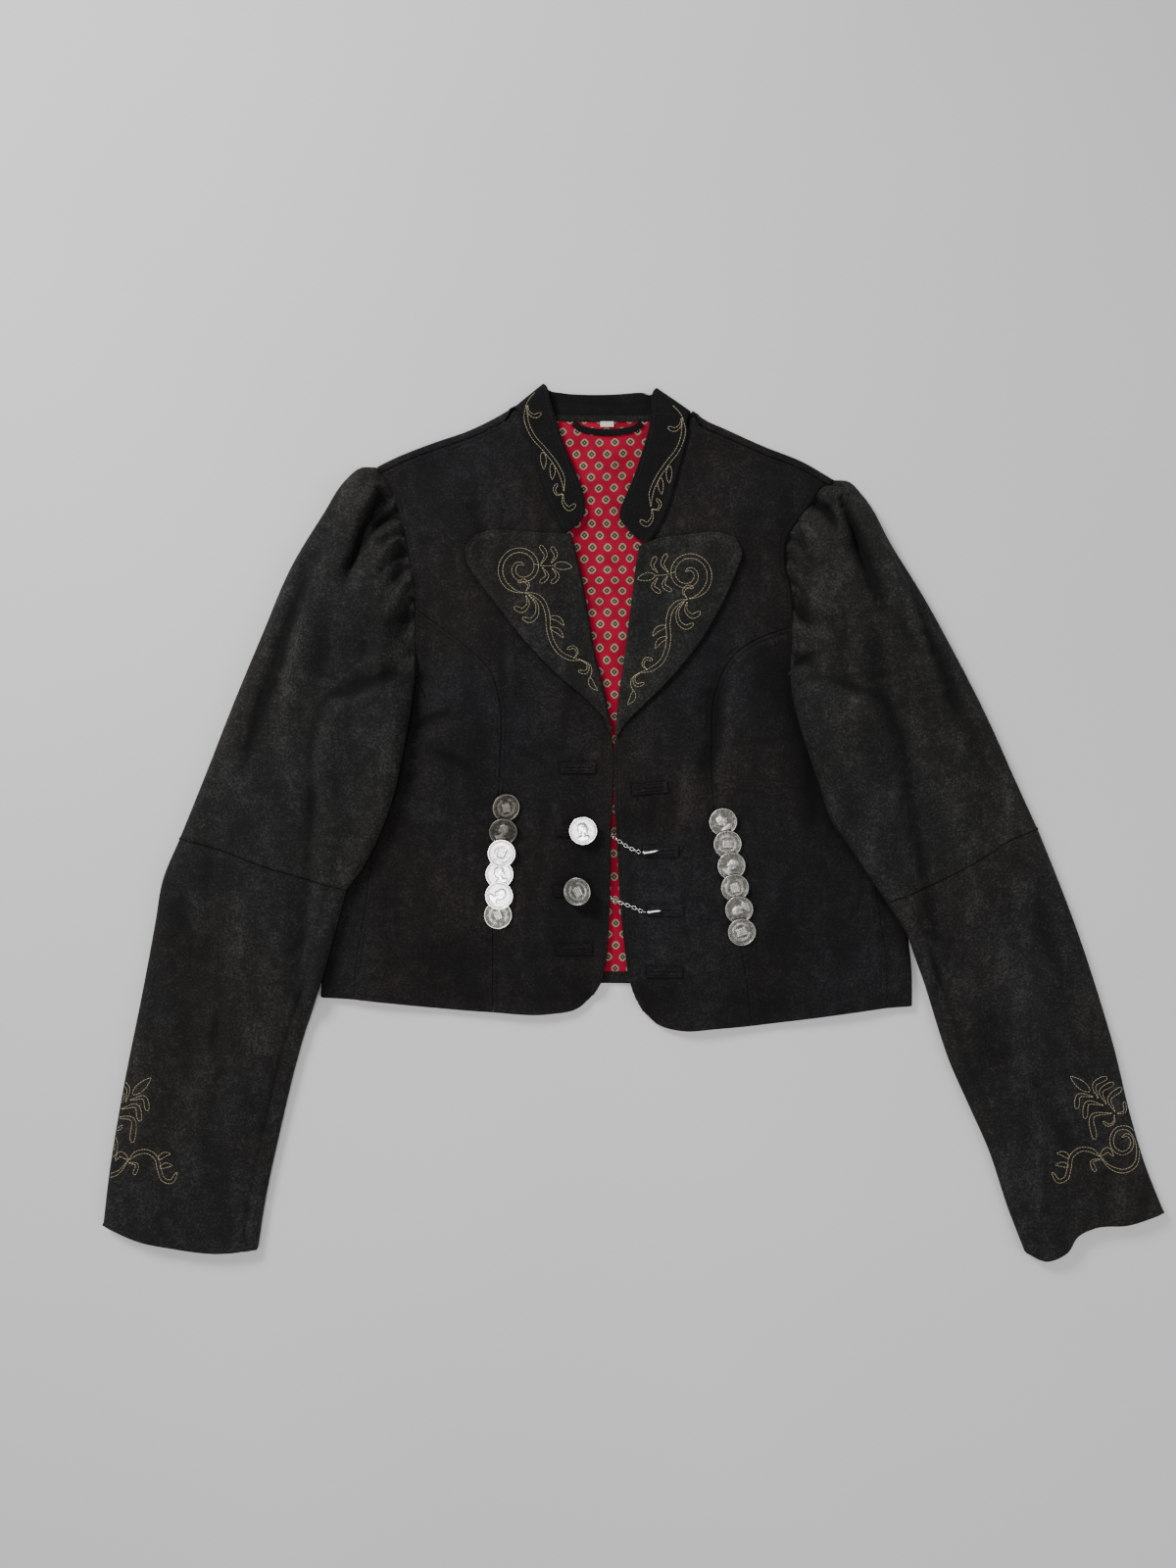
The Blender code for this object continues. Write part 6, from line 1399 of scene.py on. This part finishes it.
def suede(name, dark, middle, light, tint_one, tint_two):
    """Goat suede, chrome tanned and buffed, worn: the nap lies in brushed patches a few centimetres
    wide that turn lighter or darker, with clouds of half a centimetre and tufts of 2 mm over them, and
    the dye leans to one tint or the other over a hand's width. The eye sees a deep, dry, blotchy near
    black with a dusty look on the folds."""
    made, tree, shader, place = new_finish(name, middle, 0.92, 0.0, [
        ("Sheen Weight", 0.17), ("Sheen Roughness", 0.42), ("Sheen Tint", linear(light)),
        ("Specular IOR Level", 0.22)])
    brushed = add(tree, "ShaderNodeMapping", [("Vector", place), ("Scale", BRUSHING)])
    tone = -0.6
    for where, scale, detail, rough, bend, weight in (
            (brushed, STREAK_SCALE, 3.0, 0.6, 0.4, 0.5), (place, CLOUD_SCALE, 3.0, 0.7, 0.0, 0.5),
            (place, TUFT_SCALE, 2.0, 0.8, 0.0, 1.2)):
        pattern = add(tree, "ShaderNodeTexNoise", [("Vector", where), ("Scale", scale), ("Detail", detail),
                                                   ("Roughness", rough), ("Distortion", bend)])
        tone = add(tree, "ShaderNodeMath", [(0, pattern), (1, weight), (2, tone)], operation="MULTIPLY_ADD")
    dye = add(tree, "ShaderNodeTexNoise", [("Vector", place), ("Scale", DYE_SCALE), ("Detail", 3.0)])
    nap = add(tree, "ShaderNodeValToRGB", [("Fac", tone)], [(0.2, dark), (0.5, middle), (0.8, light)])
    tint = add(tree, "ShaderNodeValToRGB", [("Fac", dye)], [(0.42, tint_one), (0.58, tint_two)])
    dyed = add(tree, "ShaderNodeMix", [(0, 1.0), (6, nap), (7, tint)], data_type="RGBA",
               blend_type="MULTIPLY")
    # Painted shade and light: the colour is scaled by the point attribute of hollows, tone areas and shadow
    # lines
    shade_attribute = add(tree, "ShaderNodeAttribute", attribute_name="nap")
    shade_scale = add(tree, "ShaderNodeMath", [(0, shade_attribute.outputs["Fac"]), (1, 1.8), (2, 0.1)],
                  operation="MULTIPLY_ADD")
    colour = add(tree, "ShaderNodeVectorMath", [(0, dyed.outputs[2]), ("Scale", shade_scale)], operation="SCALE")
    bump = add(tree, "ShaderNodeBump", [("Height", tone), ("Strength", 0.5), ("Distance", 0.0005)])
    set_inputs(tree, shader, [("Base Color", colour), ("Normal", bump)])
    return made


def foulard():
    """Printed cotton foulard, plain weave, crimson ground: rings 6.6 mm wide with a dark middle and a
    small light centre, every 12.5 mm along a row, rows 9.35 mm apart and each half a pitch on. Distance
    from the nearest ring's middle is max(|x|, |y|, (|x| + |y|) / 1.3), which draws eight sides,
    and |x| + |y| draws the small diamond."""
    made, tree, shader, place = new_finish("foulard_print", "#9e0a2e", 0.85, 0.0,
                                           [("Specular IOR Level", 0.15)])
    warp = add(tree, "ShaderNodeTexNoise", [("Vector", place), ("Scale", 14.0), ("Detail", 1.0)])
    shift = add(tree, "ShaderNodeVectorMath", [(0, warp.outputs["Color"]), ("Scale", 0.006)],
                operation="SCALE")
    moved = add(tree, "ShaderNodeVectorMath", [(0, place), (1, shift)], operation="ADD")
    split = add(tree, "ShaderNodeSeparateXYZ", [(0, moved)])
    steps = [("row", "DIVIDE", split.outputs["Y"], PRINT_ROW * MM), ("floor", "FLOOR", "row", 0.0),
             ("even", "ADD", "floor", 400.0), ("odd", "MODULO", "even", 2.0),
             ("half", "MULTIPLY", "odd", 0.5), ("along", "DIVIDE", split.outputs["X"], PRINT_PITCH * MM),
             ("column", "ADD", "along", "half"),
             ("part_x", "FRACT", "column", 0.0), ("off_x", "SUBTRACT", "part_x", 0.5),
             ("side_x", "ABSOLUTE", "off_x", 0.0), ("x", "MULTIPLY", "side_x", PRINT_PITCH),
             ("part_y", "FRACT", "row", 0.0), ("off_y", "SUBTRACT", "part_y", 0.5),
             ("side_y", "ABSOLUTE", "off_y", 0.0), ("y", "MULTIPLY", "side_y", PRINT_ROW),
             ("square", "MAXIMUM", "x", "y"), ("sum", "ADD", "x", "y"), ("slant", "DIVIDE", "sum", 1.3),
             ("far", "MAXIMUM", "square", "slant"), ("out", "DIVIDE", "far", 5.0),
             ("diamond", "DIVIDE", "sum", 5.0), ("in", "MINIMUM", "diamond", 0.5),
             ("share", "MAXIMUM", "in", "out")]
    value = {}
    for name, operation, one, two in steps:
        value[name] = add(tree, "ShaderNodeMath", [(0, value.get(one, one)), (1, value.get(two, two))],
                          operation=operation)
    print_colour = add(tree, "ShaderNodeValToRGB", [("Fac", value["share"])],
                       [(0.0, "#93815f"), (0.17, "#30352a"), (0.48, "#a08a74"), (0.66, "#561420"),
                        (0.73, "#9e0a2e")])
    print_colour.color_ramp.interpolation = "CONSTANT"
    cloud = add(tree, "ShaderNodeTexNoise", [("Vector", place), ("Scale", 60.0), ("Detail", 3.0)])
    shade = add(tree, "ShaderNodeValToRGB", [("Fac", cloud)], [(0.3, "#d4cccc"), (0.7, "#ffffff")])
    colour = add(tree, "ShaderNodeMix", [(0, 1.0), (6, print_colour), (7, shade)],
                 data_type="RGBA", blend_type="MULTIPLY")
    warp_threads, weft = (add(tree, "ShaderNodeTexWave", [("Vector", place), ("Scale", THREAD_SCALE)],
                              bands_direction=axis).outputs["Fac"] for axis in "XY")
    both = add(tree, "ShaderNodeMath", [(0, warp_threads), (1, weft)], operation="ADD")
    bump = add(tree, "ShaderNodeBump", [("Height", both), ("Strength", 0.35), ("Distance", 0.00015)])
    set_inputs(tree, shader, [("Base Color", colour.outputs[2]), ("Normal", bump)])
    return made


def silver(name, bright, dull, roughness, scale, rub):
    """Struck or drawn silver, handled: bright where the relief is rubbed and greyer, rougher tarnish in
    the field and in patches of about 2 mm, with scratches 0.4 mm apart, so the relief reads through its
    shine."""
    made, tree, shader, place = new_finish(name, bright, roughness, 1.0)
    tarnish = add(tree, "ShaderNodeTexNoise", [("Vector", place), ("Scale", scale), ("Detail", 4.0),
                                               ("Roughness", 0.65)])
    rubbed = add(tree, "ShaderNodeAttribute", attribute_name="rubbed")
    tone = -0.1 * rub
    for source, weight in ((tarnish, 0.7 if rub else 1.0), (rubbed.outputs["Fac"], 0.45 * rub)):
        tone = add(tree, "ShaderNodeMath", [(0, source), (1, weight), (2, tone)], operation="MULTIPLY_ADD")
    colour = add(tree, "ShaderNodeValToRGB", [("Fac", tone)], [(0.3, dull), (0.62, bright)])
    rough = add(tree, "ShaderNodeMapRange", [("Value", tone), ("From Min", 0.3), ("From Max", 0.65),
                                             ("To Min", roughness + 0.16), ("To Max", roughness)])
    scratch = add(tree, "ShaderNodeTexNoise", [("Vector", place), ("Scale", 2600.0), ("Detail", 2.0)])
    bump = add(tree, "ShaderNodeBump", [("Height", scratch), ("Strength", 0.18), ("Distance", 0.0001)])
    set_inputs(tree, shader, [("Base Color", colour), ("Roughness", rough), ("Normal", bump)])
    return made


def thread_finish(name, light, dark, sheen):
    """Twisted sewing thread: light and dark plies about 1 mm long, coarser than real ones so that they
    show, and a soft sheen."""
    made, tree, shader, place = new_finish(name, light, 0.7, 0.0,
                                           [("Sheen Weight", sheen), ("Sheen Roughness", 0.35)])
    ply = add(tree, "ShaderNodeTexNoise", [("Vector", place), ("Scale", 900.0), ("Detail", 2.0)])
    colour = add(tree, "ShaderNodeValToRGB", [("Fac", ply)], [(0.35, dark), (0.6, light)])
    bump = add(tree, "ShaderNodeBump", [("Height", ply), ("Strength", 0.4), ("Distance", 0.0002)])
    set_inputs(tree, shader, [("Base Color", colour), ("Normal", bump)])
    return made


def label_tape():
    """Woven satin label tape: ribs 1.2 mm apart along its length, off-white and matt."""
    made, tree, shader, place = new_finish("label_tape", "#cfcdc6", 0.6, 0.0, [("Sheen Weight", 0.15)])
    ribs = add(tree, "ShaderNodeTexWave", [("Vector", place), ("Scale", 260.0), ("Distortion", 0.4)],
               bands_direction="Y").outputs["Fac"]
    colour = add(tree, "ShaderNodeValToRGB", [("Fac", ribs)], [(0.0, "#b9b7b0"), (1.0, "#dad8d2")])
    bump = add(tree, "ShaderNodeBump", [("Height", ribs), ("Strength", 0.4), ("Distance", 0.0001)])
    set_inputs(tree, shader, [("Base Color", colour), ("Normal", bump)])
    return made


def floor_paint():
    """Plain pale matt board with the faintest tone change."""
    made, tree, shader, place = new_finish("pale_floor", "#dadada", 0.85)
    cloud = add(tree, "ShaderNodeTexNoise", [("Vector", place), ("Scale", 2.0), ("Detail", 2.0)])
    colour = add(tree, "ShaderNodeValToRGB", [("Fac", cloud)], [(0.3, "#d8d8d9"), (0.7, "#dedede")])
    set_inputs(tree, shader, [("Base Color", colour)])
    return made


SUEDES = {
    "suede_body": ("suede_brown_black", "#0a0a0a", "#131212", "#2a2827", "#fff3e8", "#e4ecf8"),
    "suede_green": ("suede_green_black", "#0f0f0f", "#191918", "#343432", "#fdf9f2", "#ebeeec"),
    "suede_brown": ("suede_dark_brown", "#0e0e0e", "#181817", "#333231", "#fff5ec", "#ebeef2"),
    "suede_collar": ("suede_blue_black", "#050505", "#09090a", "#161516", "#f0f0fa", "#fff4ee"),
}
FINISHES = {surface: suede(*looks) for surface, looks in SUEDES.items()}
FINISHES.update({
    "foulard": foulard(),
    # Painted reflection: the coins that catch the light get a brighter copy of the silver than the others
    "silver_polished": silver("polished_silver_painted_glint", "#fbfaf8", "#e6e4e0", 0.16, 420.0, 1),
    "silver_coin": silver("struck_silver", "#aeaca6", "#5a5751", 0.28, 420.0, 1),
    "silver_tarnished": silver("tarnished_silver", "#827e76", "#3c3934", 0.36, 420.0, 1),
    "bright_chain": silver("drawn_silver", "#eeeeec", "#bcbab5", 0.18, 700.0, 0),
    "beige_thread": thread_finish("beige_cotton_thread", "#d2c49e", "#988862", 0.3),
    "dark_thread": thread_finish("dark_cotton_thread", "#1b1816", "#0a0908", 0.04),
    "black_thread": thread_finish("black_cotton_thread", "#0e0d0d", "#060606", 0.0),
    "label_tape": label_tape(),
})
# Slot names of the coin and thread finishes; nothing keeps them
dict.fromkeys(("silver_polished", "silver_coin", "silver_tarnished"), "coin_metal")
dict.fromkeys(("beige_thread", "dark_thread", "black_thread"), "suede_body")


# The jacket

def stitch_lines():
    """Plan paths of the dark top stitching on each cloth piece."""
    result = {}
    for side in SIDES:
        edge = np.vstack([smooth_line(LAPEL_LOOSE[side]), smooth_line(LAPEL_TOP[side])[::-1]])
        inner = shifted(along(edge, spaced(400)), LAPEL_STITCH_IN * side)
        result[f"lapel_{WORD[side]}_suede"] = [along(inner, np.linspace(0.12, 0.97, 300))]
        opening = smooth_line(EDGE[side])
        opening = opening[(opening[:, 1] > STITCH_FROM) & (opening[:, 1] < STITCH_TO)]
        result[f"front_{WORD[side]}_suede"] = [along(shifted(opening, -STITCH_IN * side), spaced(300))]
    step = SEWN_STEPS.index(COLLAR_STITCH_IN)
    collar_grid = GRIDS["collar_suede"][8:-8, :, :2]
    result["collar_suede"] = [collar_grid[:, step], collar_grid[:, -1 - step]]
    return result


def camera_and_lights():
    """Camera straight above the jacket, as the photograph was taken, and soft studio light."""
    data = bpy.data.cameras.new("camera")
    data.lens = LENS
    data.sensor_width = 36.0
    data.sensor_fit = "AUTO"
    data.clip_end = 10.0
    camera = bpy.data.objects.new("camera", data)
    camera.location = CAMERA
    bpy.context.scene.collection.objects.link(camera)
    bpy.context.scene.camera = camera
    for name, place, size, power in LIGHTS:
        lamp = bpy.data.lights.new(name, "AREA")
        lamp.shape = "DISK"
        lamp.size = size
        lamp.energy = power
        made = bpy.data.objects.new(name, lamp)
        made.location = place
        aim = np.array(LIGHTS_AIM) - np.array(place)
        made.rotation_euler = (math.atan2(math.hypot(aim[0], aim[1]), -aim[2]), 0.0,
                               math.atan2(-aim[0], aim[1]))
        bpy.context.scene.collection.objects.link(made)
    world = bpy.data.worlds.new("studio")
    world.use_nodes = True
    background = world.node_tree.nodes["Background"]
    background.inputs["Color"].default_value = (0.95, 0.97, 1.0, 1.0)
    background.inputs["Strength"].default_value = WORLD_LIGHT
    bpy.context.scene.world = world


def floor():
    """A square of the floor, a little below the surface that the jacket lies on."""
    corners = [(x * FLOOR_HALF, y * FLOOR_HALF, FLOOR_LEVEL) for x, y in ((-1, -1), (1, -1), (1, 1), (-1, 1))]
    mesh = bpy.data.meshes.new("floor")
    mesh.from_pydata(corners, [], [(0, 1, 2, 3)])
    made = bpy.data.objects.new("floor", mesh)
    mesh.materials.append(floor_paint())
    bpy.context.scene.collection.objects.link(made)


for side in SIDES:
    front_panels(side)
for side in SIDES:
    side_panel(side)
back_panel()
back_lining()
for side in SIDES:
    lapel(side)
collar()
for side in SIDES:
    sleeve(side, "upper", [table[side] for table in (ARMHOLE, ELBOW, UPPER_OUTER, UPPER_INNER)],
           [table[side] for table in (UPPER_FOLDS, UPPER_CREASES, GATHERS, LEANS)], UPPER_HEIGHT,
           SLEEVE_ROLL[:2], FRONT_SEAM_IN[:2])
for side in SIDES:
    sleeve(side, "lower", [table[side] for table in (ELBOW, CUFF, LOWER_OUTER, LOWER_INNER)],
           [LOWER_FOLDS[side], LOWER_CREASES[side], [], []], LOWER_HEIGHT, SLEEVE_ROLL[1:],
           FRONT_SEAM_IN[1:])

for side in SIDES:
    for number, (row, look) in enumerate(zip(COINS[side], COIN_LOOKS[side]), 1):
        node = f"coin_{WORD[side]}_{number}"
        coin(f"{node}_silver", *row, *look, node)
for node, row in BUTTONS.items():
    coin(f"{node}_silver", *row, node)
for side in SIDES:
    for number, row in enumerate(HOLES[side], 1):
        buttonhole(f"hole_{WORD[side]}_{number}_suede", *row, f"buttonhole_{WORD[side]}_{number}")
chain("chain_upper_links", BAR_UPPER, CHAIN_UPPER, "chain_upper")
chain("chain_lower_links", BAR_LOWER, CHAIN_LOWER, "chain_lower")
on_lining = BACK_WALL + REST + LINING + REST
ribbon("hanger_loop_suede", LOOP, LOOP_WIDTH, LOOP_THICK, on_lining, "suede_collar", ["hanger_loop"])
ribbon("neck_tape_suede", NECK_TAPE, NECK_TAPE_WIDTH, NECK_TAPE_THICK, on_lining, "suede_brown", [])
ribbon("label_tape", LABEL, LABEL_WIDTH, LABEL_THICK, on_lining + LABEL_LIFT, "label_tape", ["label"])

for name, paths in stitch_lines().items():
    thread = "black_thread" if name == "collar_suede" else "dark_thread"
    sewn(f"{name}_stitches", paths, GRIDS[name], *STITCH, thread)
left_lapel = drawn(LAPEL_DESIGN) + [band("scroll", winding(*LAPEL_SCROLL[:6]), LAPEL_SCROLL[6])]
left_collar = drawn(COLLAR_DESIGN)
right_cuff = drawn(CUFF_DESIGN)
left_cuff = mirrored(right_cuff, -32.2, -3.3, (-411.3, -275.0), 5.0)
designs = {
    "lapel_left": (left_lapel, "lapel_left_suede"),
    "lapel_right": (mirrored(left_lapel, -47.2, -4.5, (46.8, 203.0), 7.0), "lapel_right_suede"),
    "collar_left": (left_collar, "collar_suede"),
    "collar_right": (mirrored(left_collar, -47.6, -11.0, (33.0, 325.0), 4.0), "collar_suede"),
    "cuff_left": (inside_of(left_cuff, smooth_line(LOWER_OUTER[LEFT]), LEFT, 2.0), "sleeve_lower_left_suede"),
    "cuff_right": (inside_of(right_cuff, smooth_line(LOWER_OUTER[RIGHT]), RIGHT, 2.0),
                   "sleeve_lower_right_suede"),
}
for name, (paths, cloth) in designs.items():
    sewn(f"{name}_embroidery", paths, GRIDS[cloth], *EMBROIDERY, "beige_thread")

camera_and_lights()
floor()
